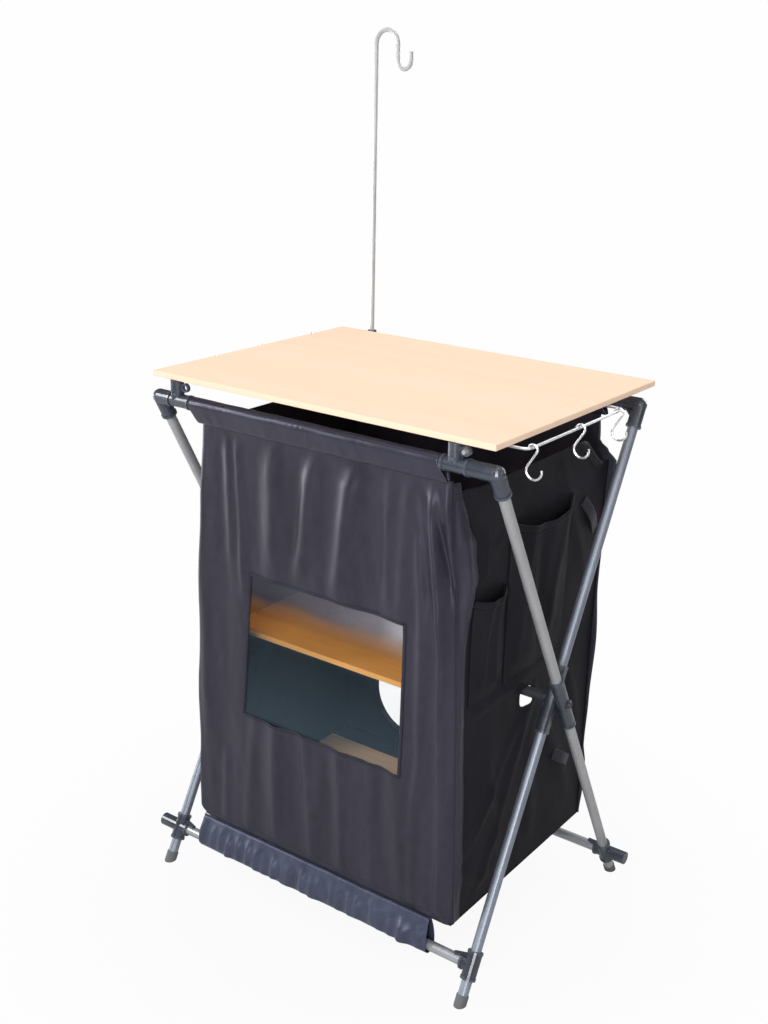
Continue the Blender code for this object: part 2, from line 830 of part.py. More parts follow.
def build_headers():
    for name, frame, facing in (("front_header", "a", 1), ("back_header", "b", -1)):
        def surface(across, up, frame=frame, facing=facing):
            return header_surface(frame, facing, across, up)

        sheet(name, surface, 10, 18, slate_fabric, fabric_thickness * 0.8)


def bottom_sleeve_surface(across, up):
    """The gathered sleeve under the front bottom rail, open toward the cabinet."""
    radius = sleeve_radius + fabric_thickness / 2 + 0.0016
    pucker = math.sin(across * 62) * 0.0009 + math.sin(across * 37 + 2) * 0.0006
    rise = cabinet_floor_height - bottom_rail_height - seat_gap
    point = wrap_path(up, rise, rise, radius + pucker, 0, fabric_thickness + seat_gap)
    reach = leg_axis_point("b", 1, bottom_rail_height).y
    along = mix(-bottom_sleeve_left_reach, bottom_sleeve_right_reach, across)
    return Vector((along, reach + point.y, bottom_rail_height - point.z))


def ease(share):
    """0 below 0, 1 above 1 and a soft step between."""
    share = min(1.0, max(0.0, share))
    return share * share * (3 - 2 * share)


def cabinet_rise(height):
    """The share of the way up the cabinet."""
    return (height - cabinet_floor_height) / (curtain_top_height - cabinet_floor_height)


def back_lean(height):
    """How far the back cloth leans out toward its rail."""
    return (rail_reach - cabinet_back) * cabinet_rise(height) ** 3


def wall_front(height):
    """The Y of a side wall's front edge, just behind the curtain's folds."""
    return front_reach(height) + fabric_thickness + fold_depth + seat_gap


def curtain_edge(side, height):
    """The X of the front curtain's left or right edge."""
    if side < 0:
        return mix(curtain_left_bottom, curtain_left_top, cabinet_rise(height) ** 1.4)
    return mix(half_cabinet, curtain_right_top, cabinet_rise(height) ** 3)


def wall_reach(side, along, height):
    """How far a side wall stands from the middle: its front edge meets the curtain's edge."""
    front = wall_front(height)
    across = (along - front) / (cabinet_back - front)
    up = (height - cabinet_floor_height) / (side_top_height - cabinet_floor_height)
    sag = math.sin(math.pi * min(1.0, across)) * math.sin(math.pi * up)
    inside = sag * wall_sag * (0.75 + 0.25 * math.sin(across * 9 + up * 5))
    full = half_cabinet - fabric_thickness - inside
    at_curtain = min(full, abs(curtain_edge(side, height)) - fabric_thickness)
    return mix(at_curtain, full, ease((along - front) / corner_slant))


def side_wall_surface(side, across, up):
    """A side wall: across runs from the front edge to the back edge, up to a top that dips at the back."""
    top = side_top_height - back_corner_dip * ease((across - 0.76) / 0.20)
    height = mix(cabinet_floor_height + fabric_thickness, top, up)
    back = cabinet_back + back_lean(height) - fabric_thickness / 2 - seat_gap
    along = mix(wall_front(height), back, across)
    return Vector((side * wall_reach(side, along, height), along, height))


def build_side_walls():
    for side, word in ((-1, "left"), (1, "right")):
        def surface(across, up, side=side):
            return side_wall_surface(side, across, up)

        wall = sheet(word + "_side_wall", surface, 12, 14, slate_fabric)
        slit = block(word + "_slit", (side * half_cabinet - 0.02, -slit_front, slit_bottom),
                     (side * half_cabinet + 0.02, slit_back, slit_top))
        cut(wall, [slit])


def back_wall_surface(across, up):
    top = curtain_top_height
    height = mix(cabinet_floor_height, top, up)
    ripple = math.sin(across * 19) * 0.0012 * math.sin(math.pi * up)
    narrowing = ease((height - side_top_height + back_corner_dip) / (0.6 * back_corner_dip))
    half = half_cabinet - back_top_inset * narrowing
    return Vector((mix(-half, half, across), cabinet_back + back_lean(height) + ripple, height))


def build_back_wall():
    """The back cloth, with a round-cornered opening behind the lower tier."""
    wall = sheet("back_wall", back_wall_surface, 24, 12, slate_fabric)
    middle = (back_opening_bottom + back_opening_top) / 2
    reach = Vector((back_opening_half, 0.03, (back_opening_top - back_opening_bottom) / 2))
    centre = Vector((0, cabinet_back, middle))
    hole = block("back_opening", centre - reach, centre + reach)
    rounding = hole.modifiers.new("corners", "BEVEL")
    rounding.width = min(back_opening_round, reach.z * 0.9)
    rounding.segments = 4
    rounding.limit_method = "WEIGHT"
    hole.data.attributes.new("bevel_weight_edge", "FLOAT", "EDGE")
    weights = hole.data.attributes["bevel_weight_edge"].data
    for edge in hole.data.edges:
        ends = [hole.data.vertices[index].co for index in edge.vertices]
        along = ends[0] - ends[1]
        weights[edge.index].value = 1.0 if abs(along.y) > abs(along.x) + abs(along.z) else 0.0
    cut(wall, [hole])
    return wall


def cabinet_floor_surface(across, up):
    half = half_cabinet - fabric_thickness * 1.5 - seat_gap
    front = front_reach(cabinet_floor_height) + fabric_thickness / 2 + seat_gap
    back = cabinet_back - fabric_thickness / 2 - seat_gap
    height = cabinet_floor_height + fabric_thickness / 2
    return Vector((mix(-half, half, across), mix(front, back, up), height))


def pocket_surface(low, high, bulge, across, up):
    """A pouch sewn on the right wall: it stands off most at the middle of its mouth."""
    reach = mix(low[0], high[0], across)
    height = mix(low[1], high[1], up)
    edge = math.sin(math.pi * across) ** 0.7
    standing = bulge * edge * (0.25 + 0.75 * up)
    foot = wall_reach(1, reach, height) + fabric_thickness + seat_gap
    return Vector((foot + standing, reach, height))


def build_pockets():
    upper = ((upper_pocket_front, upper_pocket_top - upper_pocket_height),
             (upper_pocket_front + upper_pocket_width, upper_pocket_top), upper_pocket_bulge)
    lower = ((lower_pocket_front, lower_pocket_top - lower_pocket_height),
             (lower_pocket_front + lower_pocket_width, lower_pocket_top), lower_pocket_bulge)
    for name, (low, high, bulge) in (("upper_pocket", upper), ("lower_pocket", lower)):
        def surface(across, up, low=low, high=high, bulge=bulge):
            return pocket_surface(low, high, bulge, across, up)

        sheet(name, surface, 12, 6, slate_fabric)


# Boards inside the cabinet

def build_mid_shelf():
    half = Vector((shelf_width / 2, shelf_depth / 2, 0))
    low = Vector((0, 0, shelf_bottom)) - half
    high = Vector((0, 0, shelf_bottom + shelf_thickness)) + half
    return block("mid_shelf", low, high, bamboo, 0.0012)


def build_floor_boards():
    """The floor board folds in the middle: two leaves on a soft strip."""
    half_width = floor_board_width / 2
    top = floor_board_bottom + floor_board_thickness
    strip = fold_strip_width / 2
    block("floor_strip", (-half_width, -strip, floor_board_bottom),
          (half_width, strip, top), slate_fabric, 0.001)
    for word, way in (("front", -1), ("back", 1)):
        near = way * (strip + seat_gap)
        far = way * floor_board_depth / 2
        block(f"floor_leaf_{word}", (-half_width, min(near, far), floor_board_bottom),
              (half_width, max(near, far), top), floor_panel, 0.001)


def build_frames():
    holes = {side: pin_hole(f"pin_hole_{side}", side, bore_gap) for side in (-1, 1)}
    for frame in frames:
        for side, word in ((-1, "left"), (1, "right")):
            build_leg(frame, side, word, holes[side])
            build_elbow(frame, side, word)
            build_tee(frame, side, word)
            build_foot(frame, side, word)
            build_pivot_sleeve(frame, side, word, holes[side])
    build_rails()


def build_brackets():
    for frame, face in (("a", "front"), ("b", "back")):
        for side, word in ((-1, "left"), (1, "right")):
            build_bracket(frame, side, f"{face}_{word}")
        build_bolt(frame, ear_way(frame), face)


build_frames()
for pin_side, pin_word in ((-1, "left"), (1, "right")):
    build_pivot_pin(pin_side, pin_word)
build_cross_bar()
build_brackets()
build_board()
build_hook_rail(1, "right")
build_hook_rail(-1, "left")
build_hooks(1, "right", right_hook_places)
build_hooks(-1, "left", left_hook_places)
build_pole()
build_pole_socket()
build_front_curtain()
build_window_pane()
build_headers()
sheet("bottom_sleeve", bottom_sleeve_surface, 36, 14, slate_fabric, fabric_thickness * 0.8)
build_side_walls()
build_back_wall()
sheet("cabinet_floor", cabinet_floor_surface, 4, 4, slate_fabric)
build_pockets()
build_mid_shelf()
build_floor_boards()
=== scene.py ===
import math

import bmesh
import bpy
from mathutils import Matrix, Vector, noise


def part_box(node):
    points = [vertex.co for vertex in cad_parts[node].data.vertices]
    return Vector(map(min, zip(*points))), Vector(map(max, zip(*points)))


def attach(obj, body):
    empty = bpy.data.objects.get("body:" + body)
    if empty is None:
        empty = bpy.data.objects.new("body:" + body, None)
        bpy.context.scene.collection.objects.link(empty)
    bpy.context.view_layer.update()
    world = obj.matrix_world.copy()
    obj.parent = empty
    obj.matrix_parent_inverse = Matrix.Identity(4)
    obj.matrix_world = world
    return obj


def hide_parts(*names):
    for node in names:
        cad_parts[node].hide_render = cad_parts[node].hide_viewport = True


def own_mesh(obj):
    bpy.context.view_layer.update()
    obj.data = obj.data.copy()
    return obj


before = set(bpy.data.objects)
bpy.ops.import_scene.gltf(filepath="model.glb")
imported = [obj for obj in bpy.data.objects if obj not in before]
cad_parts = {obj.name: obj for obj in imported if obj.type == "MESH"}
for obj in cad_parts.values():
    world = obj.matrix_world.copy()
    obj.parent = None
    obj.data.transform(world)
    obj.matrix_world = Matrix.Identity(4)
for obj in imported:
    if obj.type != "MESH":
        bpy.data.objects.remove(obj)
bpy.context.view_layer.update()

# Sizes in metres, as in the CAD. Z is measured from the ground, and Y from the plane through
# both pivots, which MIDDLE_Y moves to its place in the frame.
MIDDLE_Y = -0.00525
RAIL_Z = 0.815
RAIL_Y = 0.218
LOW_RAIL_Y = 0.19045
LOW_RAIL_Z = 0.0515
PIVOT_Z = RAIL_Z / 2
HALF = 0.2475
CLOTH_LOW = 0.100
CURTAIN_TOP = 0.790
SIDE_TOP = 0.772
BACK_Y = 0.196
CAD_CLOTH = 0.0016
CLOTH = 0.0010
FOLD = 0.0056
HEADER_REACH = 0.2220
HEADER_FLAP = 0.0264
WINDOW_LOW = 0.325
WINDOW_HIGH = 0.567
STITCH_LENGTH = 0.0027
STITCH_GAP = 0.0017
STITCH_THICK = 0.00045
FRONT_OUT = Vector((0, -1, -0.04))
BACKDROP_WHITE = 0.99
AMBIENT = 0.17


def show(item):
    bpy.context.scene.collection.objects.link(item)
    return item


# Camera, fitted to the photograph's frame

def make_camera():
    yaw = 0.6064
    pitch = 0.3307
    roll = 0.0296
    spot = (1.10267, -1.54141, 1.30343)
    forward = Vector((-math.sin(yaw) * math.cos(pitch), math.cos(yaw) * math.cos(pitch), -math.sin(pitch)))
    right = forward.cross(Vector((0, 0, 1))).normalized()
    up = right.cross(forward)
    turned_right = math.cos(roll) * right + math.sin(roll) * up
    turned_up = -math.sin(roll) * right + math.cos(roll) * up
    data = bpy.data.cameras.new("camera")
    data.lens = 45.53
    data.sensor_width = 36
    data.shift_x = -0.03453
    data.shift_y = -0.00964
    camera = show(bpy.data.objects.new("camera", data))
    turn = Matrix((turned_right, turned_up, -forward)).transposed().to_4x4()
    camera.matrix_world = Matrix.Translation(spot) @ turn
    bpy.context.scene.camera = camera


make_camera()


# Helpers for materials

def new_material(name):
    material = bpy.data.materials.new(name)
    material.use_nodes = True
    tree = material.node_tree
    return material, tree, tree.nodes["Principled BSDF"]


def add_node(tree, kind, **settings):
    node = tree.nodes.new("ShaderNode" + kind)
    for key, value in settings.items():
        setattr(node, key, value)
    return node


def set_inputs(node, values):
    for name, value in values.items():
        node.inputs[name].default_value = value


def place_of(tree, source):
    """The X and the Y of a surface point."""
    coords = add_node(tree, "TexCoord")
    split = add_node(tree, "SeparateXYZ")
    tree.links.new(coords.outputs[source], split.inputs["Vector"])
    return split.outputs["X"], split.outputs["Y"]


def noise_at(tree, source, stretch, detail=2.0, roughness=0.5, scale=1.0):
    """Noise over the object's or the cloth map's coordinates, stretched along each axis."""
    coords = add_node(tree, "TexCoord")
    mapping = add_node(tree, "Mapping")
    set_inputs(mapping, {"Scale": stretch})
    tree.links.new(coords.outputs[source], mapping.inputs["Vector"])
    node = add_node(tree, "TexNoise")
    set_inputs(node, {"Scale": scale, "Detail": detail, "Roughness": roughness})
    tree.links.new(mapping.outputs["Vector"], node.inputs["Vector"])
    return node.outputs["Fac"]


def ramp(tree, value, *stops):
    node = add_node(tree, "ValToRGB")
    elements = node.color_ramp.elements
    while len(elements) < len(stops):
        elements.new(0.5)
    for element, (at, colour) in zip(elements, stops):
        element.position = at
        element.color = (*colour, 1)
    tree.links.new(value, node.inputs["Fac"])
    return node.outputs["Color"]


def grey(value):
    return (value, value, value)


def shaded(colour, times, plus=0.0):
    return tuple(min(1, part * times + plus) for part in colour)


def maths(tree, operation, first, second=None):
    node = add_node(tree, "Math", operation=operation)
    for index, value in enumerate((first, second)):
        if value is None:
            continue
        if isinstance(value, (int, float)):
            node.inputs[index].default_value = value
        else:
            tree.links.new(value, node.inputs[index])
    return node.outputs["Value"]


def weighted(tree, *parts):
    """The sum of values, each times its weight."""
    total = None
    for value, weight in parts:
        part = value if weight == 1 else maths(tree, "MULTIPLY", value, weight)
        total = part if total is None else maths(tree, "ADD", total, part)
    return total


def off_middle(tree, value):
    """How far a value is from the middle of its own unit step."""
    return maths(tree, "ABSOLUTE", maths(tree, "SUBTRACT", maths(tree, "FRACT", value), 0.5))


def blend_colours(tree, share, first, second):
    node = add_node(tree, "Mix", data_type="RGBA")
    for name, value in (("Factor", share), ("A", first), ("B", second)):
        socket = [s for s in node.inputs if s.name == name and s.enabled][0]
        if isinstance(value, (int, float)):
            socket.default_value = value
        elif isinstance(value, tuple):
            socket.default_value = (*value, 1)
        else:
            tree.links.new(value, socket)
    return [s for s in node.outputs if s.enabled][0]


def bump(tree, height, distance, strength=1.0, under=None):
    node = add_node(tree, "Bump")
    set_inputs(node, {"Strength": strength, "Distance": distance})
    tree.links.new(height, node.inputs["Height"])
    if under is not None:
        tree.links.new(under, node.inputs["Normal"])
    return node.outputs["Normal"]


def wire_up(tree, shader, colour, roughness, normal):
    for name, value in (("Base Color", colour), ("Roughness", roughness), ("Normal", normal)):
        tree.links.new(value, shader.inputs[name])


# Materials

def bamboo(name, pale, deep, knot, roughness):
    """Laminated bamboo: strips along X with grain, faint seams and the darker nodes of each culm."""
    strips_per_metre = 48.0
    joints_per_metre = 3.1
    material, tree, shader = new_material(name)
    along, across = place_of(tree, "Object")
    across = maths(tree, "MULTIPLY", across, strips_per_metre)
    strip = add_node(tree, "TexWhiteNoise", noise_dimensions="1D")
    tree.links.new(maths(tree, "FLOOR", across), strip.inputs["W"])
    tone = strip.outputs["Value"]
    grain = noise_at(tree, "Object", (6, 190, 190), 3.0, 0.6)
    broad = noise_at(tree, "Object", (3, 22, 22))
    shade = weighted(tree, (tone, 0.30), (grain, 0.45), (broad, 0.35))
    colour = ramp(tree, shade, (0.30, pale), (0.80, deep))
    seam = ramp(tree, off_middle(tree, across), (0.475, grey(0)), (0.497, grey(1)))
    colour = blend_colours(tree, maths(tree, "MULTIPLY", seam, 0.10), colour, knot)
    joint = off_middle(tree, weighted(tree, (along, joints_per_metre), (tone, 7.0)))
    mark = ramp(tree, joint, (0.484, grey(0)), (0.496, grey(1)))
    patchy = maths(tree, "MULTIPLY", noise_at(tree, "Object", (30, 120, 30)), 0.20)
    colour = blend_colours(tree, maths(tree, "MULTIPLY", mark, patchy), colour, knot)
    rough = ramp(tree, grain, (0.2, grey(roughness - 0.06)), (0.8, grey(roughness + 0.10)))
    relief = maths(tree, "SUBTRACT", grain, seam)
    wire_up(tree, shader, colour, rough, bump(tree, relief, 0.0002, 0.35))
    set_inputs(shader, {"Specular IOR Level": 0.15})
    return material


def tube_metal(name, colour, roughness, metallic, along=(60, 60, 60)):
    """Satin tube: fine drawn lines, cloudy wear and a few small marks."""
    material, tree, shader = new_material(name)
    lines = noise_at(tree, "Object", along, 3.0, 0.65, 6.0)
    cloud = noise_at(tree, "Object", (9, 9, 9), 3.0, 0.55)
    specks = noise_at(tree, "Object", (260, 260, 260))
    paler = shaded(colour, 1.18)
    both = weighted(tree, (lines, 0.45), (cloud, 0.55))
    tone = ramp(tree, both, (0.32, shaded(colour, 0.78)), (0.68, paler))
    scuff = ramp(tree, specks, (0.66, grey(0)), (0.78, grey(0.45)))
    tone = blend_colours(tree, scuff, tone, paler)
    rough = ramp(tree, both, (0.3, grey(roughness - 0.07)), (0.75, grey(roughness + 0.12)))
    wire_up(tree, shader, tone, rough, bump(tree, both, 0.00010, 0.10))
    set_inputs(shader, {"Metallic": metallic})
    return material


def moulded(name, colour, roughness, grain=900, wear=0.4, gloss=0.5):
    """Moulded plastic or rubber: fine grain, soft colour change and paler rubbed edges."""
    material, tree, shader = new_material(name)
    coarse = noise_at(tree, "Object", (18, 18, 18), 3.0, 0.6)
    fine = noise_at(tree, "Object", (grain, grain, grain))
    tone = ramp(tree, coarse, (0.3, shaded(colour, 0.8)), (0.7, shaded(colour, 1.25)))
    geometry = add_node(tree, "NewGeometry")
    rim = ramp(tree, geometry.outputs["Pointiness"], (0.52, grey(0)), (0.62, grey(wear)))
    tone = blend_colours(tree, rim, tone, shaded(colour, 2.4, 0.02))
    rough = ramp(tree, coarse, (0.3, grey(roughness - 0.05)), (0.7, grey(roughness + 0.10)))
    wire_up(tree, shader, tone, rough, bump(tree, fine, 0.00006, 0.2))
    set_inputs(shader, {"Specular IOR Level": gloss})
    return material


def woven(name, colour, roughness, sheen, specular=0.40, lift=1.35, thread=0.0011, cloud_and_sheen_stretch=(14, 9)):
    """Coated polyester: a plain weave in metres on the cloth's own map, with cloudy creasing in its bump and
    tone. Where the cloud is stretched into streaks and lifted well above the colour, its pale streaks are
    painted highlights that stand in for satin sheen on folds.
    """
    material, tree, shader = new_material(name)
    warp, weft = (maths(tree, "SINE", maths(tree, "MULTIPLY", way, 2 * math.pi / thread))
                  for way in place_of(tree, "UV"))
    weave = maths(tree, "MULTIPLY", warp, weft)
    weave = maths(tree, "ADD", maths(tree, "MULTIPLY", weave, 0.5), 0.5)
    cloud = noise_at(tree, "UV", (*cloud_and_sheen_stretch, 1), 4.0, 0.6)
    rubbed = noise_at(tree, "UV", (70, 42, 1), 3.0, 0.6)
    value = weighted(tree, (cloud, 0.65), (rubbed, 0.35))
    # Cloud patches lift the colour up to lift times: random tone where the lift is small, painted sheen
    # highlights where it is large.
    tone = ramp(tree, value, (0.28, shaded(colour, 0.80)), (0.72, shaded(colour, lift)))
    tone = blend_colours(tree, maths(tree, "MULTIPLY", weave, 0.16), tone, shaded(colour, 0.62))
    rough = ramp(tree, value, (0.3, grey(roughness - 0.06)), (0.7, grey(roughness + 0.12)))
    first = bump(tree, maths(tree, "ADD", rubbed, cloud), 0.0012, 0.16)
    wire_up(tree, shader, tone, rough, bump(tree, weave, 0.00006, 0.08, first))
    set_inputs(shader, {"Sheen Weight": sheen, "Sheen Roughness": 0.40, "Sheen Tint": (0.60, 0.63, 0.85, 1),
                        "Specular IOR Level": specular, "Specular Tint": (0.80, 0.79, 1.0, 1)})
    return material


def film(name):
    """Clear window film: a smoky foot, a painted amber glow where the shelf shows through, and a painted
    reflection toward the top edge that is dark at the left and pale at the right.
    """
    widths_per_metre = 3.4
    heights_per_metre = 4.1
    material, tree, shader = new_material(name)
    across, up = place_of(tree, "UV")
    smear = noise_at(tree, "UV", (9, 14, 1), 3.0, 0.6)
    side = weighted(tree, (across, widths_per_metre), (smear, 0.10))
    # A painted reflection: a veil dark at the left and nearly white at the right, laid over the film's top.
    painted_reflection_tint = ramp(tree, side, (0.15, (0.040, 0.040, 0.055)), (0.60, (0.085, 0.092, 0.125)),
                 (0.86, (0.17, 0.175, 0.215)), (1.0, (0.42, 0.42, 0.47)))
    high = weighted(tree, (up, heights_per_metre), (smear, 0.12))
    # A painted amber glow of the lit shelf seen through the film, in a band at the shelf's height.
    painted_shelf_glow = ramp(tree, high, (0.645, grey(0)), (0.70, grey(1)))
    tone = blend_colours(tree, painted_shelf_glow, (0.17, 0.265, 0.345), (0.60, 0.23, 0.06))
    tone = blend_colours(tree, ramp(tree, high, (0.78, grey(0)), (0.95, grey(1))), tone, painted_reflection_tint)
    # The film grows opaque toward its top, where the painted reflection shows.
    veil = ramp(tree, high, (0.10, grey(0.16)), (0.62, grey(0.07)), (0.71, grey(0.24)),
                (0.84, grey(0.22)), (1.0, grey(0.74)))
    tree.links.new(veil, shader.inputs["Alpha"])
    rough = ramp(tree, smear, (0.3, grey(0.16)), (0.7, grey(0.30)))
    ripple = noise_at(tree, "UV", (16, 7, 1))
    wire_up(tree, shader, tone, rough, bump(tree, ripple, 0.004, 0.35))
    set_inputs(shader, {"IOR": 1.49, "Specular IOR Level": 0.22})
    return material


board_wood = bamboo("board_bamboo", (0.940, 0.702, 0.533), (0.915, 0.670, 0.495), (0.70, 0.50, 0.33), 0.72)
shelf_wood = bamboo("shelf_bamboo", (0.96, 0.50, 0.13), (0.82, 0.38, 0.08), (0.45, 0.22, 0.06), 0.42)
panel_wood = bamboo("panel_board", (0.62, 0.42, 0.24), (0.50, 0.32, 0.17), (0.29, 0.17, 0.09), 0.60)
# Both frames' legs are the same anodised aluminium; the paler matt copy for frame A and the darker glossier
# copy for frame B are painted lit and shaded versions of it, following how the light falls on each frame.
lit_matt_leg_metal = tube_metal("tube_matt_lit", (0.45, 0.455, 0.47), 0.44, 0.45)
shaded_gloss_leg_metal = tube_metal("tube_gloss_shaded", (0.290, 0.320, 0.385), 0.44, 0.64)
rail_metal = tube_metal("tube_satin_rail", (0.48, 0.49, 0.52), 0.38, 0.65, (8, 120, 120))
bright_metal = tube_metal("bright_wire", (0.70, 0.71, 0.73), 0.33, 0.85, (120, 120, 120))
dark_metal = tube_metal("dark_pin", (0.055, 0.057, 0.065), 0.42, 0.7, (120, 120, 120))
pole_metal = tube_metal("pole_brushed", (0.50, 0.505, 0.515), 0.40, 0.30, (240, 240, 6))
fitting = moulded("fitting_slate", (0.036, 0.043, 0.062), 0.24, 900, 0.5, 0.85)
bar_plastic = moulded("bar_slate", (0.022, 0.024, 0.030), 0.38)
rubber = moulded("tip_rubber", (0.09, 0.09, 0.095), 0.70, 500, 0.25)
# The front, back and sleeve cloths stretch the cloud into streaks and lift them well above their colour:
# painted highlight streaks for satin sheen on folds and gathers.
front_cloth = woven("front_cloth", (0.0150, 0.0143, 0.0215), 0.40, 0.04, 0.52, 2.3, 0.0011, (25, 2.2))
side_cloth = woven("side_cloth", (0.0180, 0.0167, 0.0210), 0.42, 0.0, 0.035)
back_cloth = woven("back_cloth", (0.0200, 0.0190, 0.0270), 0.40, 0.02, 0.30, 1.7, 0.0011, (25, 2.2))
header_cloth = woven("header_cloth", (0.0270, 0.0262, 0.0400), 0.28, 0.06, 0.50)
sleeve_cloth = woven("sleeve_cloth", (0.030, 0.037, 0.063), 0.36, 0.10, 0.8, 1.9, 0.0011, (48, 7))
binding_cloth = woven("binding_cloth", (0.0250, 0.0245, 0.0365), 0.5, 0.05, 0.25, 1.3, 0.0016)
side_binding = woven("side_binding", (0.0190, 0.0178, 0.0220), 0.5, 0.0, 0.05, 1.3, 0.0016)
strap_cloth = woven("strap_webbing", (0.027, 0.028, 0.033), 0.5, 0.06, 0.2, 1.3, 0.0022)
thread_cloth = moulded("thread", (0.014, 0.014, 0.019), 0.7, 1500, 0.2)
window_film = film("window_film")


# CAD nodes that stay, with their detailed finish

def dress(material, *names):
    for name in names:
        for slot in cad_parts[name].material_slots:
            slot.link = "OBJECT"
            slot.material = material


dress(board_wood, "table_board")
dress(shelf_wood, "mid_shelf")
dress(panel_wood, "floor_leaf_front", "floor_leaf_back")
dress(bar_plastic, "cross_bar")
dress(rail_metal, "front_top_rail", "back_top_rail", "front_bottom_rail", "back_bottom_rail")
dress(pole_metal, "lantern_pole")
dress(fitting, "pole_socket")
for side in ("left", "right"):
    dress(bright_metal, "hook_rail_" + side)
    dress(dark_metal, "pivot_pin_" + side)
    dress(fitting, "rail_bracket_front_" + side, "rail_bracket_back_" + side)
    for number in "123":
        dress(bright_metal, f"s_hook_{side}_{number}")
    for which in "ab":
        dress(lit_matt_leg_metal if which == "a" else shaded_gloss_leg_metal, f"leg_{which}_{side}")
        dress(fitting, *[f"{part}_{which}_{side}" for part in ("elbow", "tee", "pivot_sleeve")])
        dress(rubber, f"foot_tip_{which}_{side}")
dress(bright_metal, "bracket_bolt_front", "bracket_bolt_back")


# Helpers for cloth

def mix(low, high, share):
    return low + (high - low) * share


def ease(share):
    share = min(1.0, max(0.0, share))
    return share * share * (3 - 2 * share)


def bell(value, middle, width):
    return math.exp(-((value - middle) / width) ** 2)


def at_height(table, height):
    """A value eased between the heights that a table gives."""
    for (low, start), (high, end) in zip(table, table[1:]):
        if height <= high:
            return mix(start, end, ease((height - low) / (high - low)))
    return table[-1][1]


def share_up(height):
    """A height's share of the way from the cabinet's floor to the curtain's top."""
    return (height - CLOTH_LOW) / (CURTAIN_TOP - CLOTH_LOW)


def rough_noise(x, y, seed):
    return noise.noise(Vector((x, y, seed)))


def object_from(name, shape):
    mesh = bpy.data.meshes.new(name)
    shape.to_mesh(mesh)
    shape.free()
    return show(bpy.data.objects.new(name, mesh))


def thicken(piece, thickness):
    solid = piece.modifiers.new("thickness", "SOLIDIFY")
    solid.thickness = thickness
    solid.offset = 0


def outward_across(way, outward):
    """The outward direction squared to a path's way, and the side that goes with both."""
    out = Vector(outward)
    out = (out - way * out.dot(way)).normalized()
    return out, way.cross(out)


def running(line):
    """How far along a line of points each of them is."""
    run = [0.0]
    for first, second in zip(line, line[1:]):
        run.append(run[-1] + (second - first).length)
    return run


def cloth_from(name, across, up, surface, skip=None):
    """A sheet on a grid of shares: surface gives each point, skip leaves cells out.

    Its map is in metres along the cloth, so a weave keeps its scale.
    """
    points = [[Vector(surface(a, u)) for a in across] for u in up]
    widths = [running(line) for line in points]
    lengths = [running(line) for line in zip(*points)]
    shape = bmesh.new()
    grid = [[shape.verts.new(p + Vector((0, MIDDLE_Y, 0))) for p in line] for line in points]
    layer = shape.loops.layers.uv.new("cloth")
    area = 0.0
    for row in range(len(up) - 1):
        for column in range(len(across) - 1):
            if skip is not None and skip(0.5 * (across[column] + across[column + 1]),
                                         0.5 * (up[row] + up[row + 1])):
                continue
            corners = ((row, column), (row, column + 1), (row + 1, column + 1), (row + 1, column))
            face = shape.faces.new([grid[r][c] for r, c in corners])
            face.smooth = True
            area += face.calc_area()
            for loop, (r, c) in zip(face.loops, corners):
                loop[layer].uv = (widths[r][c], lengths[c][r])
    loose = [vertex for vertex in shape.verts if not vertex.link_faces]
    bmesh.ops.delete(shape, geom=loose, context="VERTS")
    shape.normal_update()
    piece = object_from(name, shape)
    width, length = (sum(line[-1] for line in lines) / len(lines) for lines in (widths, lengths))
    piece["cut"] = [width, length, area]
    return piece


def finish_cloth(piece, material, body, nodes=(), thickness=CLOTH):
    """Thickness, material and ride on its body; the CAD nodes it replaces are hidden."""
    piece.data.materials.append(material)
    if thickness:
        thicken(piece, thickness)
    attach(piece, body)
    if nodes:
        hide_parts(*nodes)
    width, length, area = piece["cut"]
    min(area, width * length)
    fold_up(piece, body)


def finish_trim(piece, material, body="cabinet"):
    piece.data.materials.append(material)
    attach(piece, body)
    fold_up(piece, body)
    return piece


def fold_up(piece, body):
    """Cabinet pieces get a mesh of their own."""
    if body == "cabinet":
        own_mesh(piece)


def steps(count, low=0.0, high=1.0):
    return [mix(low, high, index / count) for index in range(count + 1)]


def joined(*lists):
    out = []
    for values in lists:
        for value in values:
            if not out or value > out[-1] + 1e-9:
                out.append(value)
    return out


def stitches(name, path, outward, off=0.0006, body="cabinet"):
    """A row of short raised stitches along a path of points."""
    shape = bmesh.new()
    total = 0.0
    marks = []
    for first, second in zip(path, path[1:]):
        run = (second - first).length
        while total < run:
            here = first.lerp(second, total / run)
            marks.append((here, (second - first).normalized()))
            total += STITCH_LENGTH + STITCH_GAP
        total -= run
    for here, way in marks:
        out, side = outward_across(way, outward)
        turn = Matrix((way, side, out)).transposed().to_4x4()
        turn.translation = here + out * off + Vector((0, MIDDLE_Y, 0))
        made = bmesh.ops.create_icosphere(shape, subdivisions=1, radius=1.0)
        grow = Matrix.Diagonal((STITCH_LENGTH / 2, STITCH_THICK, STITCH_THICK * 0.9, 1))
        bmesh.ops.transform(shape, verts=made["verts"], matrix=turn @ grow)
    for face in shape.faces:
        face.smooth = True
    return finish_trim(object_from(name, shape), thread_cloth, body)


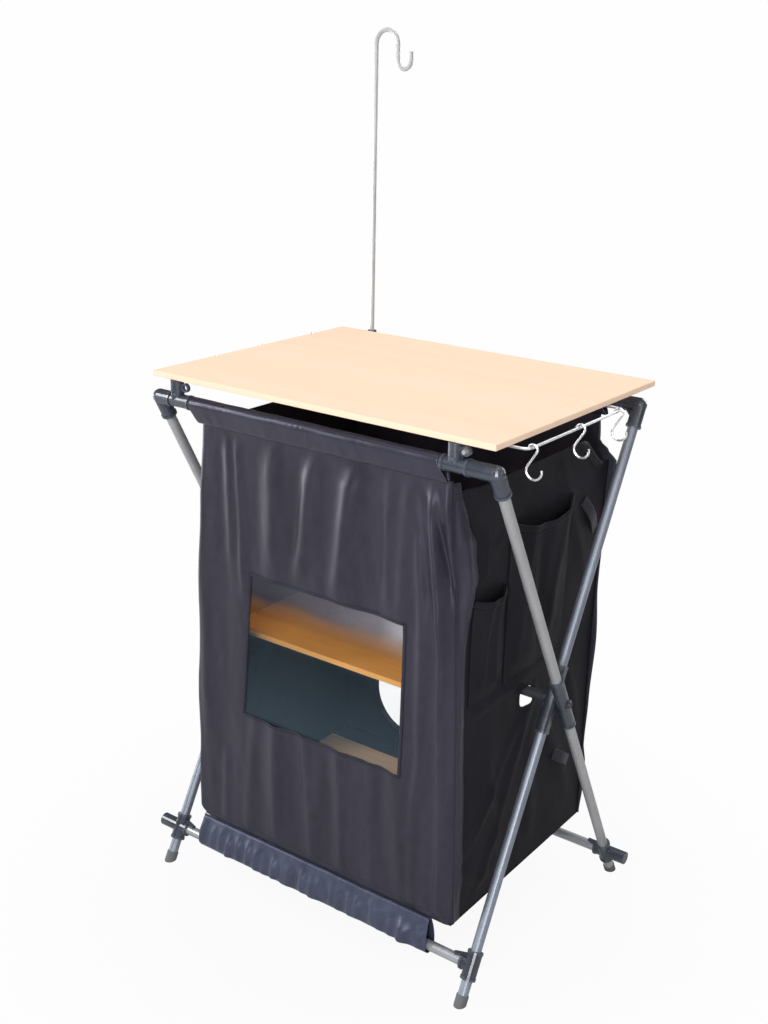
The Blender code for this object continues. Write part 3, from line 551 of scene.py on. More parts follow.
def band(name, path, outward, width, material, thickness=0.0009, off=0.0009, puff=0.0):
    """A sewn binding or strap: a flat tape along a path, width wide, lifted off the cloth."""
    shape = bmesh.new()
    layer = shape.loops.layers.uv.new("cloth")
    rows = []
    for index, (here, run) in enumerate(zip(path, running(path))):
        before = path[max(0, index - 1)]
        after = path[min(len(path) - 1, index + 1)]
        out, side = outward_across((after - before).normalized(), outward)
        line = []
        for share in (-0.5, -0.42, -0.2, 0.0, 0.2, 0.42, 0.5):
            lift = off + puff * (1 - (2 * share) ** 2) - (0.0004 if abs(share) > 0.45 else 0.0)
            spot = here + side * width * share + out * lift + Vector((0, MIDDLE_Y, 0))
            line.append((shape.verts.new(spot), share * width, run))
        rows.append(line)
    for first, second in zip(rows, rows[1:]):
        for column in range(6):
            cell = (first[column], first[column + 1], second[column + 1], second[column])
            face = shape.faces.new([item[0] for item in cell])
            face.smooth = True
            for loop, item in zip(face.loops, cell):
                loop[layer].uv = (item[1], item[2])
    piece = object_from(name, shape)
    thicken(piece, thickness)
    return finish_trim(piece, material)


# Front curtain: folds gathered at the header, flat round the window, pleats below it

def front_reach(height):
    return -mix(LOW_RAIL_Y, RAIL_Y, share_up(height))


def window_left(height):
    return mix(-0.1455, -0.1185, (height - WINDOW_LOW) / (WINDOW_HIGH - WINDOW_LOW))


def window_right(height):
    return mix(0.1535, 0.1630, (height - WINDOW_LOW) / (WINDOW_HIGH - WINDOW_LOW))


def curtain_left(height):
    up = share_up(height)
    wavy = 0.0016 * math.sin(height * 31 + 0.6) * ease(up * 4) * ease((1 - up) * 4)
    round_foot = 0.020 * max(0.0, 1 - (height - CLOTH_LOW) / 0.016) ** 2
    return mix(-0.254, -0.200, up ** 1.4) + wavy + round_foot


def curtain_right(height):
    return mix(HALF, 0.236, share_up(height) ** 3)


# Folds of the curtain: from X, Z to X, Z, how far they stand out, and their half width
CURTAIN_FOLDS = (
    (-0.1540, 0.800, -0.1580, 0.580, 0.0038, 0.0085),
    (-0.1320, 0.800, -0.1360, 0.540, 0.0038, 0.0065),
    (-0.0680, 0.800, -0.0740, 0.600, 0.0032, 0.0140),
    (0.0140, 0.800, -0.0280, 0.585, 0.0067, 0.0135),
    (0.0860, 0.800, 0.0440, 0.585, 0.0076, 0.0145),
    (0.1400, 0.800, 0.1340, 0.590, 0.0038, 0.0100),
    (0.1720, 0.800, 0.1580, 0.570, 0.0048, 0.0140),
    (0.1940, 0.720, 0.1900, 0.330, 0.0051, 0.0090),
    (0.2080, 0.800, 0.2270, 0.560, 0.0100, 0.0080),
    (0.2260, 0.580, 0.2290, 0.090, 0.0091, 0.0085),
    (0.1930, 0.780, 0.2060, 0.600, -0.0042, 0.0070),
    (0.2150, 0.740, 0.2480, 0.600, -0.0085, 0.0058),
    (0.2255, 0.805, 0.2440, 0.650, 0.0060, 0.0046),
    (-0.1220, 0.330, -0.1500, 0.100, 0.0038, 0.0120),
    (-0.0780, 0.330, -0.0900, 0.100, 0.0043, 0.0120),
    (-0.0240, 0.330, -0.0180, 0.100, 0.0043, 0.0125),
    (0.0420, 0.330, 0.0420, 0.100, 0.0046, 0.0120),
    (0.1020, 0.330, 0.1020, 0.100, 0.0041, 0.0110),
    (0.1480, 0.330, 0.1580, 0.100, 0.0026, 0.0120),
    (0.1860, 0.340, 0.1780, 0.090, 0.0043, 0.0110),
    (-0.1900, 0.240, -0.1960, 0.090, 0.0029, 0.0090),
    (-0.2140, 0.700, -0.2260, 0.300, 0.0035, 0.0100),
)


def curtain_depth(x, z):
    """How far the cloth stands out of its plane toward the front."""
    up = share_up(z)
    across = (x - curtain_left(z)) / (curtain_right(z) - curtain_left(z))
    broad = FOLD * (0.54 * math.sin(across * 41 + 1.5 * up) + 0.46 * math.sin(across * 23 + 0.8))
    window = math.exp(-((across - 0.5) / 0.30) ** 4 - ((up - 0.50) / 0.24) ** 4)
    loose = 1 - up ** 10 - (1 - up) ** 10
    depth = broad * max(0.0, math.sin(math.pi * across)) ** 0.5 * loose * (1 - 0.85 * window)
    hang = ease((1 - up) * 15) * ease(up * 40)
    for x0, z0, x1, z1, out, width in CURTAIN_FOLDS:
        share = (z0 - z) / (z0 - z1)
        if -0.15 < share < 1.15:
            fade = ease((share + 0.15) / 0.25) * ease((1.15 - share) / 0.30)
            wander = 0.0035 * rough_noise(z * 7, x0 * 60, 2.5)
            inner = ease((curtain_right(z) - x) / 0.009) if out < 0 else 1.0
            depth += hang * fade * inner * out * bell(x, mix(x0, x1, share) + wander, width)
    depth += hang * 0.0012 * rough_noise(x * 26, z * 7, 2.0) * (1 - 0.5 * window)
    depth += hang * 0.0005 * rough_noise(x * 70, z * 30, 5.0)
    return depth


def corner_roll(x, z):
    """How far the cloth turns back at its right edge, where it rounds the cabinet's corner."""
    past = (x - (curtain_right(z) - 0.016)) / 0.016
    return 0.0072 * max(0.0, past) ** 3.5


def curtain_point(x, z):
    return Vector((x, front_reach(z) - curtain_depth(x, z) + corner_roll(x, z), z))


def front_curtain_sheet():
    heights = joined(steps(64, CLOTH_LOW, WINDOW_LOW), steps(60, WINDOW_LOW, WINDOW_HIGH),
                     steps(66, WINDOW_HIGH, CURTAIN_TOP))
    zones = joined(steps(30, 0, 1), steps(90, 1, 2), steps(34, 2, 3))

    def surface(zone, z):
        marks = (curtain_left(z), window_left(z), window_right(z), curtain_right(z))
        index = min(2, int(zone))
        return curtain_point(mix(marks[index], marks[index + 1], zone - index), z)

    def inside(zone, z):
        return 1 < zone < 2 and WINDOW_LOW < z < WINDOW_HIGH

    return cloth_from("front_curtain_cloth", zones, heights, surface, inside)


# Steps along the window's foot and head, and along its sides
WINDOW_WIDE = 50
WINDOW_TALL = 44


def window_path(grow):
    """Points round the window, a margin outside it, on the curtain: foot, right, head, left."""
    low = WINDOW_LOW - grow
    high = WINDOW_HIGH + grow
    walk = [(share, low) for share in steps(WINDOW_WIDE)]
    walk += [(1, z) for z in steps(WINDOW_TALL, low, high)[1:]]
    walk += [(share, high) for share in steps(WINDOW_WIDE, 1, 0)[1:]]
    walk += [(0, z) for z in steps(WINDOW_TALL, high, low)[1:]]
    return [curtain_point(mix(window_left(z) - grow, window_right(z) + grow, share), z) for share, z in walk]


front_curtain = front_curtain_sheet()
window_edge = window_path(0.0024)
first = 0
for index, count in enumerate((WINDOW_WIDE, WINDOW_TALL, WINDOW_WIDE, WINDOW_TALL), 1):
    band(f"window_binding_{index}", window_edge[first:first + count + 1], FRONT_OUT,
                               0.0052, binding_cloth, thickness=0.0006, puff=0.0002)
    first += count
window_stitches = stitches("window_stitches", window_path(0.0038), FRONT_OUT, off=0.0016)
HEM_Z = 0.112
hem_line = [curtain_point(x, HEM_Z)
            for x in steps(120, curtain_left(HEM_Z) + 0.004, curtain_right(HEM_Z) - 0.004)]
hem_stitches = stitches("curtain_hem_stitches", hem_line, FRONT_OUT)
left_line = [curtain_point(curtain_left(z) + 0.006, z) for z in steps(120, 0.120, 0.780)]
left_stitches = stitches("curtain_left_stitches", left_line, FRONT_OUT)
finish_cloth(front_curtain, front_cloth, "cabinet", ["front_curtain"])


def film_sheet():
    def surface(share, z):
        x = mix(window_left(z) - 0.002, window_right(z) + 0.002, share)
        sag = 0.0016 * rough_noise(x * 13, z * 9, 3.3) * math.sin(math.pi * share)
        return Vector((x, front_reach(z) - 0.15 * curtain_depth(x, z) + 0.0012 - sag, z))

    heights = steps(30, WINDOW_LOW - 0.002, WINDOW_HIGH + 0.002)
    return cloth_from("window_film_sheet", steps(36), heights, surface)


finish_cloth(film_sheet(), window_film, "cabinet", ["window_pane"],
             thickness=0.0)


# Headers: sleeves over the top rails, puckered where they are sewn

WRAP_ON = 0.28
WRAP_OFF = 0.74


def wrap_point(up, front, back, radius, near):
    """Across a sleeve: up its outer flap, over the rail, and down its inner flap."""
    if up < WRAP_ON:
        share = up / WRAP_ON
        return -mix(near, radius, math.sqrt(share)), -front * (1 - share)
    if up < WRAP_OFF:
        turn = math.pi * (up - WRAP_ON) / (WRAP_OFF - WRAP_ON)
        return -radius * math.cos(turn), radius * math.sin(turn)
    share = (up - WRAP_OFF) / (1 - WRAP_OFF)
    return mix(radius, near, share * share), -back * share


def wrap_steps(outer=14):
    return joined(steps(outer, 0, WRAP_ON), steps(16, WRAP_ON, WRAP_OFF), steps(10, WRAP_OFF, 1))


def header_sheet(name, facing):
    def surface(across, up):
        x = mix(-HEADER_REACH, HEADER_REACH, across)
        pucker = rough_noise(x * 22, up * 3, 1.0 + facing) * 0.0008
        pucker += 0.0011 * rough_noise(x * 75, up * 2.5, 4.0) * ease((0.30 - up) / 0.25)
        pucker += 0.0008 * max(0.0, 1 - abs(x + 0.035 + 0.2 * (up - 0.4)) / 0.022) * math.sin(x * 700)
        radius = 0.0099 + max(-0.0006, pucker)
        y, z = wrap_point(up, front=HEADER_FLAP, back=0.0240, radius=radius, near=0.0023)
        drop = max(0.0, -z / HEADER_FLAP)
        x += 0.016 * drop * (1 - across) ** 6 + 0.0125 * drop * across ** 6
        z += 0.0004 * math.sin(x * 2 * math.pi / 0.052 + 1) * drop
        return Vector((x, facing * (y - RAIL_Y), RAIL_Z + z))

    return cloth_from(name, steps(110), wrap_steps(), surface)


front_header = header_sheet("front_header_cloth", 1)
header_line = [Vector((x, -RAIL_Y - 0.0020, 0.7925))
               for x in steps(110, -HEADER_REACH + 0.014, HEADER_REACH + 0.006)]
header_stitches = stitches("front_header_stitches", header_line, FRONT_OUT, off=0.0008, body="frame_a")
finish_cloth(front_header, header_cloth, "frame_a", ["front_header"])
finish_cloth(header_sheet("back_header_cloth", -1), back_cloth, "frame_b",
             ["back_header"])


# Bottom sleeve: gathered on the front bottom rail

def chance(index, turn):
    """A fixed share from 0 to 1 for each number."""
    value = math.sin(index * 12.9898 + turn * 78.233) * 43758.5453
    return value - math.floor(value)


SLEEVE_LEFT = -0.250
SLEEVE_RIGHT = 0.212
GATHERS = 24
# Each gather's X, lean, height, half width and how far from the hem it starts
SLEEVE_GATHERS = [(mix(SLEEVE_LEFT, SLEEVE_RIGHT, (index + 0.2 + 0.5 * chance(index, 1)) / GATHERS),
                   0.012 * (chance(index, 2) - 0.6), 0.0030 + 0.0026 * chance(index, 3),
                   0.0068 + 0.0030 * chance(index, 4), 0.30 * chance(index, 5)) for index in range(GATHERS)]


def bottom_sleeve_sheet():
    def surface(across, up):
        x = mix(SLEEVE_LEFT, SLEEVE_RIGHT, across)
        pucker = 0.0004 * rough_noise(x * 40, up * 5, 6.0) + 0.0006 * rough_noise(x * 15, up * 3, 2.0)
        for place, lean, out, width, start in SLEEVE_GATHERS:
            away = x - place - lean * up * 2.5
            if abs(away) < 0.02:
                fade = ease((up - 0.20 * start) / 0.14) * ease((0.36 + 0.25 * start - up) / 0.16)
                pucker += out * 1.5 * fade * bell(away, 0, width)
        pinch = ease(up / 0.06) * (0.20 + 0.80 * ease((0.9 - up) / 0.2))
        y, z = wrap_point(up, front=0.0480, back=0.0460, radius=0.0118, near=0.0022)
        y -= pucker * pinch if up < 0.5 else -pucker * pinch
        lean = 0.0050 * max(0.0, 1 - across * 4) * ease(1 - up / 0.4)
        z += 0.0012 * rough_noise(x * 30, 1.0, 8.0) * ease(1 - up / 0.2)
        return Vector((x + lean, -LOW_RAIL_Y + y, LOW_RAIL_Z - z))

    return cloth_from("bottom_sleeve_cloth", steps(320), wrap_steps(16), surface)


bottom_sleeve = bottom_sleeve_sheet()
sleeve_line = [Vector((x, -LOW_RAIL_Y - 0.0040, 0.0945)) for x in steps(110, -0.246, 0.209)]
sleeve_stitches = stitches("bottom_sleeve_stitches", sleeve_line, FRONT_OUT, off=0.0010, body="frame_b")
finish_cloth(bottom_sleeve, sleeve_cloth, "frame_b", ["bottom_sleeve"])


# Side walls: sagging cloth with creases that run to the slit and the corners

def wall_front(height):
    return front_reach(height) + CAD_CLOTH + FOLD + 0.0003


def wall_start(side, height):
    """The Y of a visible wall's front edge, tucked in behind the curtain."""
    return front_reach(height) + (0.0064 if side > 0 else 0.0020)


def wall_x(side, along, height):
    """How far a wall stands from the middle: its front edge meets the curtain's edge."""
    edge = curtain_right(height) if side > 0 else -curtain_left(height)
    at_curtain = min(HALF - CAD_CLOTH, edge - CAD_CLOTH * 0.6)
    return mix(at_curtain, HALF - CAD_CLOTH, ease((along - wall_front(height)) / 0.080))


def back_lean(height):
    return (RAIL_Y - BACK_Y) * share_up(height) ** 3


def wall_top(along):
    """The top edge dips toward the back corner, where nothing holds it up."""
    return SIDE_TOP - 0.050 * ease((along - 0.105) / 0.08)


def crease(along, height, start, end, depth, width):
    """A soft ridge on a slanting line, which fades past both ends of it."""
    run = (end[0] - start[0], end[1] - start[1])
    length = math.hypot(*run)
    away = (along - start[0], height - start[1])
    share = (away[0] * run[0] + away[1] * run[1]) / (length * length)
    if share < -0.2 or share > 1.2:
        return 0.0
    across = (away[0] * -run[1] + away[1] * run[0]) / length
    fade = ease((share + 0.2) / 0.35) * ease((1.2 - share) / 0.35)
    return depth * fade * bell(across, 0, width)


# Creases of the walls: from Y, Z to Y, Z, how far they stand out, and their half width
WALL_CREASES = (
    ((0.010, 0.385), (-0.125, 0.125), 0.0050, 0.011),
    ((-0.004, 0.380), (-0.165, 0.215), 0.0034, 0.010),
    ((0.018, 0.378), (0.030, 0.130), 0.0028, 0.016),
    ((0.028, 0.385), (0.150, 0.170), 0.0036, 0.015),
    ((-0.205, 0.770), (-0.176, 0.600), 0.0056, 0.0085),
    ((-0.188, 0.720), (-0.192, 0.420), 0.0044, 0.0075),
    ((-0.140, 0.712), (-0.148, 0.640), 0.0046, 0.0095),
    ((-0.196, 0.430), (-0.186, 0.130), 0.0046, 0.0090),
    ((-0.150, 0.640), (-0.040, 0.720), 0.0022, 0.011),
    ((-0.165, 0.430), (0.045, 0.436), 0.0030, 0.007),
    ((0.060, 0.756), (0.150, 0.560), 0.0030, 0.013),
    ((-0.160, 0.762), (-0.040, 0.725), 0.0022, 0.011),
    ((0.110, 0.430), (0.180, 0.260), 0.0028, 0.014),
    ((-0.180, 0.180), (-0.080, 0.125), 0.0030, 0.012),
    ((-0.110, 0.330), (-0.070, 0.140), 0.0024, 0.012),
)


def wall_depth(along, height):
    """How far a side wall stands outside the CAD's flat of it."""
    front = wall_front(height)
    across = min(1.0, max(0.0, (along - front) / (BACK_Y - front)))
    up = min(1.0, max(0.0, (height - CLOTH_LOW) / (SIDE_TOP - CLOTH_LOW)))
    sag = math.sin(math.pi * across) * math.sin(math.pi * up)
    depth = -0.0024 * sag * (0.75 + 0.25 * math.sin(across * 9 + up * 5))
    held = ease(across * 26) * ease((1 - across) * 9) * ease(up * 12)
    depth += held * 0.0070 * bell(along, -0.128, 0.050) * bell(height, 0.270, 0.130)
    depth += held * 0.0050 * bell(along, -0.160, 0.034) * bell(height, 0.660, 0.070)
    for start, end, amount, width in WALL_CREASES:
        depth += crease(along, height, start, end, amount, width) * held
    depth += held * 0.0020 * max(-0.3, rough_noise(along * 11, height * 6, 8.0))
    depth += held * 0.0006 * rough_noise(along * 40, height * 26, 2.5)
    return max(depth, -0.0024)


def wall_point(side, along, height, out=0.0):
    return Vector((side * (wall_x(side, along, height) + wall_depth(along, height) + out), along, height))


SLIT_MIDDLE = (-0.0055, PIVOT_Z - 0.00625)
SLIT_HALF = (0.0185, 0.01625)


def side_wall_sheet(name, side):
    rows = joined(steps(48, 0, 0.42), steps(14, 0.42, 0.475), steps(48, 0.475, 1))
    columns = joined(steps(34, 0, 0.40), steps(18, 0.40, 0.525), steps(36, 0.525, 1))

    def where(across, up):
        top = wall_top(mix(wall_front(0.7), BACK_Y, across))
        z = CLOTH_LOW + CAD_CLOTH + (SIDE_TOP - CLOTH_LOW - CAD_CLOTH) * up
        squeeze = ease((up - 0.78) / 0.22)
        z -= (SIDE_TOP - top) * squeeze
        return mix(wall_start(side, z), BACK_Y + back_lean(z) - 0.0011, across), z

    def surface(across, up):
        along, z = where(across, up)
        return wall_point(side, along, z)

    def inside(across, up):
        along, z = where(across, up)
        away = abs(along - SLIT_MIDDLE[0]) / SLIT_HALF[0]
        rise = abs(z - SLIT_MIDDLE[1]) / SLIT_HALF[1]
        return away ** 3 + rise ** 3 < 1

    return cloth_from(name, columns, rows, surface, inside)


def slit_path(side, grow):
    points = []
    for angle in steps(56, 0, 2 * math.pi):
        c = math.cos(angle)
        s = math.sin(angle)
        y = SLIT_MIDDLE[0] + (SLIT_HALF[0] + grow) * math.copysign(abs(c) ** 0.667, c)
        z = SLIT_MIDDLE[1] + (SLIT_HALF[1] + grow) * math.copysign(abs(s) ** 0.667, s)
        points.append(wall_point(side, y, z))
    return points


# Ends of the two straps near a wall's back edge, as Y, Z
STRAPS = (((0.134, 0.676), (0.178, 0.618)), ((0.088, 0.262), (0.142, 0.226)))
STRAP_WIDTH = 0.019
SIDES = ((-1, "left"), (1, "right"))


for side, word in SIDES:
    out_way = Vector((side, 0, 0))
    wall = side_wall_sheet(word + "_side_cloth", side)
    ring = band(word + "_slit_binding", slit_path(side, 0.0015), out_way, 0.0065, side_binding,
                thickness=0.0007, off=0.0010)
    start = wall_front(SIDE_TOP)
    top_line = [wall_point(side, y, wall_top(y) - 0.0045) for y in steps(70, start + 0.002, 0.192)]
    top_band = band(word + "_wall_hem", top_line, out_way, 0.009, side_binding, thickness=0.0008)
    seam = [wall_point(side, y, wall_top(y) - 0.0085) for y in steps(70, start + 0.004, 0.190)]
    seam_stitches = stitches(word + "_wall_stitches", seam, out_way, off=0.0019)
    for number, (first, last) in enumerate(STRAPS, 1):
        path = [wall_point(side, mix(first[0], last[0], share), mix(first[1], last[1], share),
                           0.0008 + 0.0050 * math.sin(math.pi * share) ** 1.5) for share in steps(24)]
        band(f"{word}_strap_{number}", path, out_way, STRAP_WIDTH, strap_cloth,
                           thickness=0.0012, off=0.0010)
    finish_cloth(wall, side_cloth, "cabinet", [word + "_side_wall"])


# The curtain laps round both corners, widest below the top rails: heights and widths

LAP_WIDTH = ((0.100, 0.012), (0.400, 0.013), (0.520, 0.017), (0.600, 0.027), (0.655, 0.041), (0.690, 0.041),
             (0.730, 0.024), (0.772, 0.011), (0.790, 0.006))


def lap_point(side, share, z):
    edge = curtain_right(z) if side > 0 else curtain_left(z)
    width = at_height(LAP_WIDTH, z)
    y = curtain_point(edge, z).y + share * (width + 0.004)
    wall = wall_point(side, max(y, wall_start(side, z)), min(z, SIDE_TOP), 0.0012)
    fold = 0.0042 * bell(share, 0.36 + 0.05 * math.sin(z * 15), 0.15) + 0.0026 * bell(share, 0.74, 0.12)
    fold += 0.0006 * rough_noise(share * 4, z * 12, 3.0)
    wide = ease((width - 0.012) / 0.02)
    x = mix(edge, wall.x + side * fold * wide * ease((1 - share) * 6), ease(share * 3.5))
    return Vector((x, y, z))


def lap_sheet(name, side):
    heights = steps(110, CLOTH_LOW + 0.001, 0.786)
    return cloth_from(name, steps(22), heights, lambda share, z: lap_point(side, share, z))


for side, word in SIDES:
    line = [lap_point(side, 0.90, z) for z in steps(110, 0.106, 0.780)]
    row = stitches(word + "_lap_stitches", line, (side, 0, 0), off=0.0008)
    finish_cloth(lap_sheet(word + "_lap_cloth", side), front_cloth, "cabinet",
                 thickness=0.0008)


# Pockets on the right wall

def pocket_sheet(name, low, high, sag, bulge, folds):
    def surface(across, up):
        y = mix(low[0], high[0], across)
        edge = max(0.0, math.sin(math.pi * across)) ** 0.7
        top = high[1] - sag * edge
        z = mix(low[1], top, up)
        belly = bulge * edge * (0.22 + 0.78 * up ** 1.3) * ease(up * 6 + 0.12)
        crimp = 0.0
        for at, lean, amount, width in folds:
            crimp += amount * bell(across, at + lean * (up - 0.5), width) * ease(up * 3)
        crimp += 0.0016 * rough_noise(y * 20, z * 11, 6.0) * edge * ease(up * 5)
        y += 0.004 * math.sin(up * 5 + across * 3) * edge
        foot = wall_x(1, y, z) + wall_depth(y, z) + 0.0014
        return Vector((foot + max(0.0, belly + crimp * edge), y, z))

    return cloth_from(name, steps(60), steps(52), surface), surface


# Each pocket's corners as Y, Z, the sag of its mouth, its belly, and its folds
POCKETS = (
    ("upper_pocket", (-0.075, 0.448), (0.093, 0.700), 0.019, 0.0195,
     ((0.20, 0.12, 0.0035, 0.06), (0.48, -0.12, -0.0045, 0.08), (0.74, 0.14, 0.0045, 0.08))),
    ("lower_pocket", (-0.168, 0.448), (-0.083, 0.610), 0.008, 0.0135,
     ((0.30, 0.12, 0.0030, 0.08), (0.70, -0.12, 0.0024, 0.10))),
)
for name, low, high, sag, bulge, folds in POCKETS:
    cloth, surface = pocket_sheet(name + "_cloth", low, high, sag, bulge, folds)
    mouth = [surface(share, 0.982) for share in steps(70)]
    hem = band(name + "_mouth", mouth, (1, 0, 0), 0.0095, side_binding,
               thickness=0.0010, off=0.0010, puff=0.0005)
    line = [surface(share, 0.945) for share in steps(70)]
    row = stitches(name + "_stitches", line, (1, 0, 0), off=0.0012)
    rim = [surface(0.012, up) for up in steps(40, 1.0, 0.0)]
    rim += [surface(share, 0.012) for share in steps(50)[1:]]
    rim += [surface(0.988, up) for up in steps(40)[1:]]
    rim_row = stitches(name + "_seam", rim, (1, 0, 0), off=0.0009)
    finish_cloth(cloth, side_cloth, "cabinet", [name])


# Back wall with its round-cornered opening, and the cabinet's floor

OPENING_HALF = 0.180
OPENING_LOW = 0.130
OPENING_HIGH = 0.396
OPENING_CORNER = 0.075
OPENING_MIDDLE = (OPENING_LOW + OPENING_HIGH) / 2
# From the opening's middle to the middles of its corners
CORE_HALF = OPENING_HALF - OPENING_CORNER
CORE_RISE = (OPENING_HIGH - OPENING_LOW) / 2 - OPENING_CORNER
# The wall's heights and half widths
BACK_EDGE = ((0.100, 0.2485), (0.150, 0.2520), (0.197, 0.2530), (0.233, 0.2485), (0.314, 0.2510),
             (0.424, 0.2550), (0.520, 0.2495), (0.628, 0.2505), (0.690, 0.2580), (0.722, 0.2590),
             (0.736, 0.2440), (0.750, 0.2270), (0.790, 0.2235))


def back_point(across, z):
    half = at_height(BACK_EDGE, z)
    x = mix(-half, half, across)
    swell = max(0.0, math.sin(math.pi * share_up(z)))
    ripple = swell * (0.0012 * math.sin(across * 19) + 0.0026 * rough_noise(x * 9, z * 3, 4.4)
                      + 0.0016 * math.sin(x * 2 * math.pi / 0.061 + 3 * rough_noise(x * 4, z, 1)))
    ripple += swell * 0.0006 * rough_noise(x * 44, z * 20, 3.0)
    return Vector((x, BACK_Y + back_lean(z) + max(-0.0012, ripple), z))


def opening_share(x, z):
    """Below 1 inside the rounded opening of the back wall."""
    dx = max(0.0, abs(x) - CORE_HALF)
    dz = max(0.0, abs(z - OPENING_MIDDLE) - CORE_RISE)
    return math.hypot(dx, dz) / OPENING_CORNER


def back_wall_sheet():
    columns = joined(steps(16, 0, 0.145), steps(110, 0.145, 0.855), steps(16, 0.855, 1))
    rows = joined(steps(10, CLOTH_LOW, OPENING_LOW), steps(76, OPENING_LOW, OPENING_HIGH),
                  steps(70, OPENING_HIGH, CURTAIN_TOP))

    def inside(across, z):
        half = at_height(BACK_EDGE, z)
        return opening_share(mix(-half, half, across), z) < 1

    piece = cloth_from("back_wall_cloth", columns, rows, back_point, inside)
    for vertex in piece.data.vertices:
        x = vertex.co.x
        z = vertex.co.z
        if 0.93 < opening_share(x, z) < 1.12:
            rise = z - OPENING_MIDDLE
            core_x = math.copysign(min(abs(x), CORE_HALF), x)
            core_z = OPENING_MIDDLE + math.copysign(min(abs(rise), CORE_RISE), rise)
            away = Vector((x - core_x, z - core_z))
            away *= OPENING_CORNER / away.length
            vertex.co.x = core_x + away.x
            vertex.co.z = core_z + away.y
    return piece


def opening_path(grow):
    radius = OPENING_CORNER + grow
    points = []
    for quarter, (cx, cz) in enumerate(((1, 1), (-1, 1), (-1, -1), (1, -1))):
        for share in steps(12):
            angle = math.radians(90 * (quarter + share))
            points.append((cx * CORE_HALF + radius * math.cos(angle),
                           OPENING_MIDDLE + cz * CORE_RISE + radius * math.sin(angle)))
    points.append(points[0])
    path = []
    for (x0, z0), (x1, z1) in zip(points, points[1:]):
        count = max(1, int(math.hypot(x1 - x0, z1 - z0) / 0.006))
        for share in steps(count)[:-1]:
            x = mix(x0, x1, share)
            z = mix(z0, z1, share)
            edge = at_height(BACK_EDGE, z)
            path.append(back_point((x + edge) / (2 * edge), z))
    path.append(path[0].copy())
    return path


back_wall = back_wall_sheet()
back_binding = band("back_opening_binding", opening_path(0.002), (0, 1, 0), 0.008, binding_cloth,
                    thickness=0.0008, off=0.0010)
back_stitches = stitches("back_opening_stitches", opening_path(0.0045), (0, 1, 0), off=0.0020)
finish_cloth(back_wall, back_cloth, "cabinet", ["back_wall"])


def floor_cloth():
    def surface(across, up):
        half = HALF - CAD_CLOTH * 0.5
        front = front_reach(CLOTH_LOW) + CAD_CLOTH / 2 + 0.0003
        back = BACK_Y - CAD_CLOTH / 2 - 0.0003
        x = mix(-half, half, across)
        y = mix(front, back, up)
        inner = ease(across * 12) * ease((1 - across) * 12) * ease(up * 12) * ease((1 - up) * 12)
        z = CLOTH_LOW + CAD_CLOTH / 2 - inner * (0.0008 + 0.0012 * abs(rough_noise(x * 9, y * 9, 1.0)))
        return Vector((x, y, z))

    return cloth_from("cabinet_floor_cloth", steps(60), steps(48), surface)


finish_cloth(floor_cloth(), side_cloth, "cabinet", ["cabinet_floor"])


# The soft hinge between the floor's two leaves

def hinge_sheet():
    low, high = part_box("floor_strip")

    def surface(across, up):
        x = mix(low.x, high.x, across)
        y = mix(low.y, high.y, up) - MIDDLE_Y
        dip = math.sin(math.pi * up)
        weave = 0.0003 * rough_noise(x * 50, y * 90, 2.0)
        return Vector((x, y, high.z - 0.0008 - 0.0016 * dip + weave))

    return cloth_from("floor_hinge_cloth", steps(90), steps(8), surface)


finish_cloth(hinge_sheet(), binding_cloth, "floor_ridge",
             ["floor_strip"])


# Floor, backdrop and soft studio light

def white_light(node, strength):
    set_inputs(node, {"Color": (1, 1, 1, 1), "Strength": strength})
    return node.outputs[0]


def seen_apart(tree, lit, seen, output, share=1.0):
    """The camera sees one shader, and the scene is lit by the other."""
    path = add_node(tree, "LightPath")
    mixer = add_node(tree, "MixShader")
    tree.links.new(maths(tree, "MULTIPLY", path.outputs["Is Camera Ray"], share), mixer.inputs["Fac"])
    tree.links.new(lit, mixer.inputs[1])
    tree.links.new(seen, mixer.inputs[2])
    tree.links.new(mixer.outputs["Shader"], tree.nodes[output].inputs["Surface"])


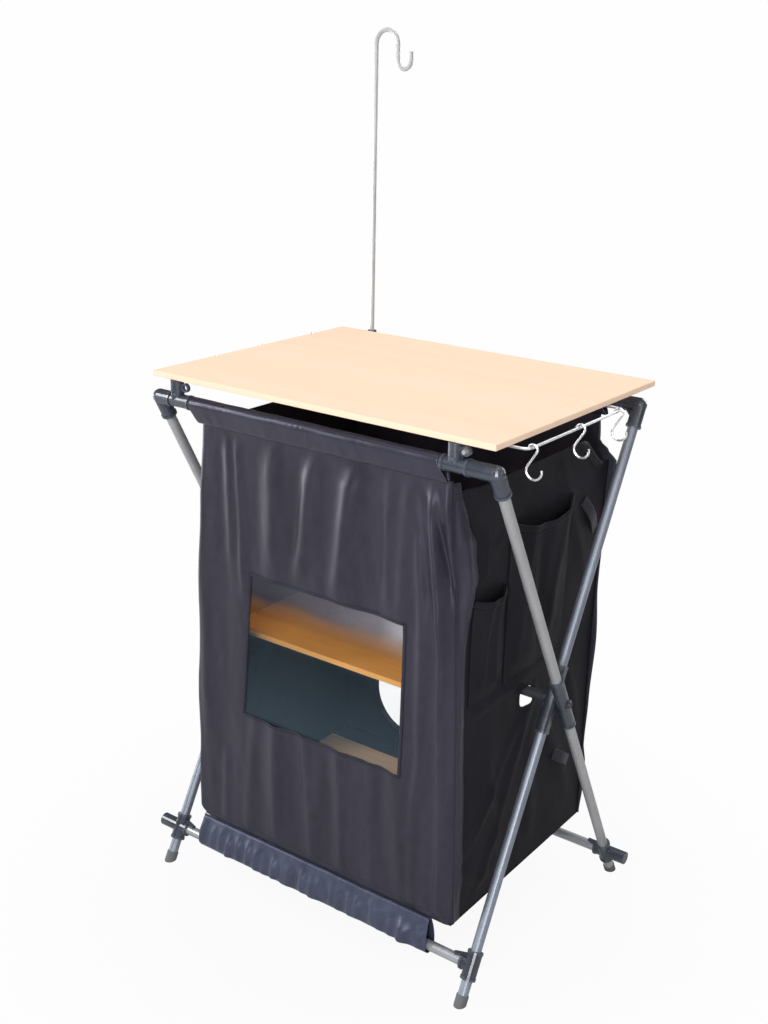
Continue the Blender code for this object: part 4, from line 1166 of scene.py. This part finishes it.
def plain_stage():
    material, tree, shader = new_material("studio_floor")
    set_inputs(shader, {"Base Color": (0.55, 0.55, 0.55, 1), "Roughness": 0.9, "Specular IOR Level": 0.0})
    glow = white_light(add_node(tree, "Emission"), BACKDROP_WHITE)
    coords = add_node(tree, "TexCoord")
    away = add_node(tree, "VectorMath", operation="LENGTH")
    tree.links.new(coords.outputs["Object"], away.inputs[0])
    away = maths(tree, "MULTIPLY", away.outputs["Value"], 0.5)
    plain = ramp(tree, away, (0.11, grey(0.94)), (0.36, grey(1.0)))
    seen_apart(tree, shader.outputs["BSDF"], glow, "Material Output", plain)
    shape = bmesh.new()
    bmesh.ops.create_grid(shape, x_segments=4, y_segments=4, size=12)
    floor = object_from("studio_floor", shape)
    floor.location = (0, 0, -0.0002)
    floor.data.materials.append(material)


def studio_world():
    world = bpy.data.worlds.new("studio")
    world.use_nodes = True
    tree = world.node_tree
    lit = white_light(tree.nodes["Background"], AMBIENT)
    seen = white_light(add_node(tree, "Background"), BACKDROP_WHITE)
    seen_apart(tree, lit, seen, "World Output")
    bpy.context.scene.world = world


def soft_light(name, spot, target, width, height, power):
    data = bpy.data.lights.new(name, "AREA")
    data.shape = "RECTANGLE"
    data.size = width
    data.size_y = height
    data.energy = power
    light = show(bpy.data.objects.new(name, data))
    light.location = spot
    way = Vector(target) - Vector(spot)
    light.rotation_euler = way.to_track_quat("-Z", "Y").to_euler()


# Each lamp's place, what it faces, its width and height in metres, and its power in watts
LAMPS = (
    ("key", (-2.5, -2.1, 1.8), (0, 0, 0.45), 0.50, 2.0, 50),
    ("front", (1.0, -2.8, 2.2), (0, 0, 0.5), 1.3, 1.1, 44),
    ("low", (1.4, -2.6, 0.9), (0.1, 0, 0.45), 0.4, 0.8, 25),
    ("top", (-0.2, 0.1, 3.2), (0, 0, 0.8), 2.2, 2.2, 37),
    ("rim", (-3.0, -0.5, 0.6), (0, 0, 0.45), 0.4, 1.1, 34),
    ("right", (2.5, -0.4, 1.7), (0.2, 0, 0.5), 0.3, 2.0, 8),
    ("back", (0.6, 2.6, 1.6), (0, 0, 0.5), 1.6, 1.6, 44),
)

plain_stage()
studio_world()
for lamp in LAMPS:
    soft_light(*lamp)
bpy.context.scene.view_settings.view_transform = "Standard"
bpy.context.scene.view_settings.look = "None"
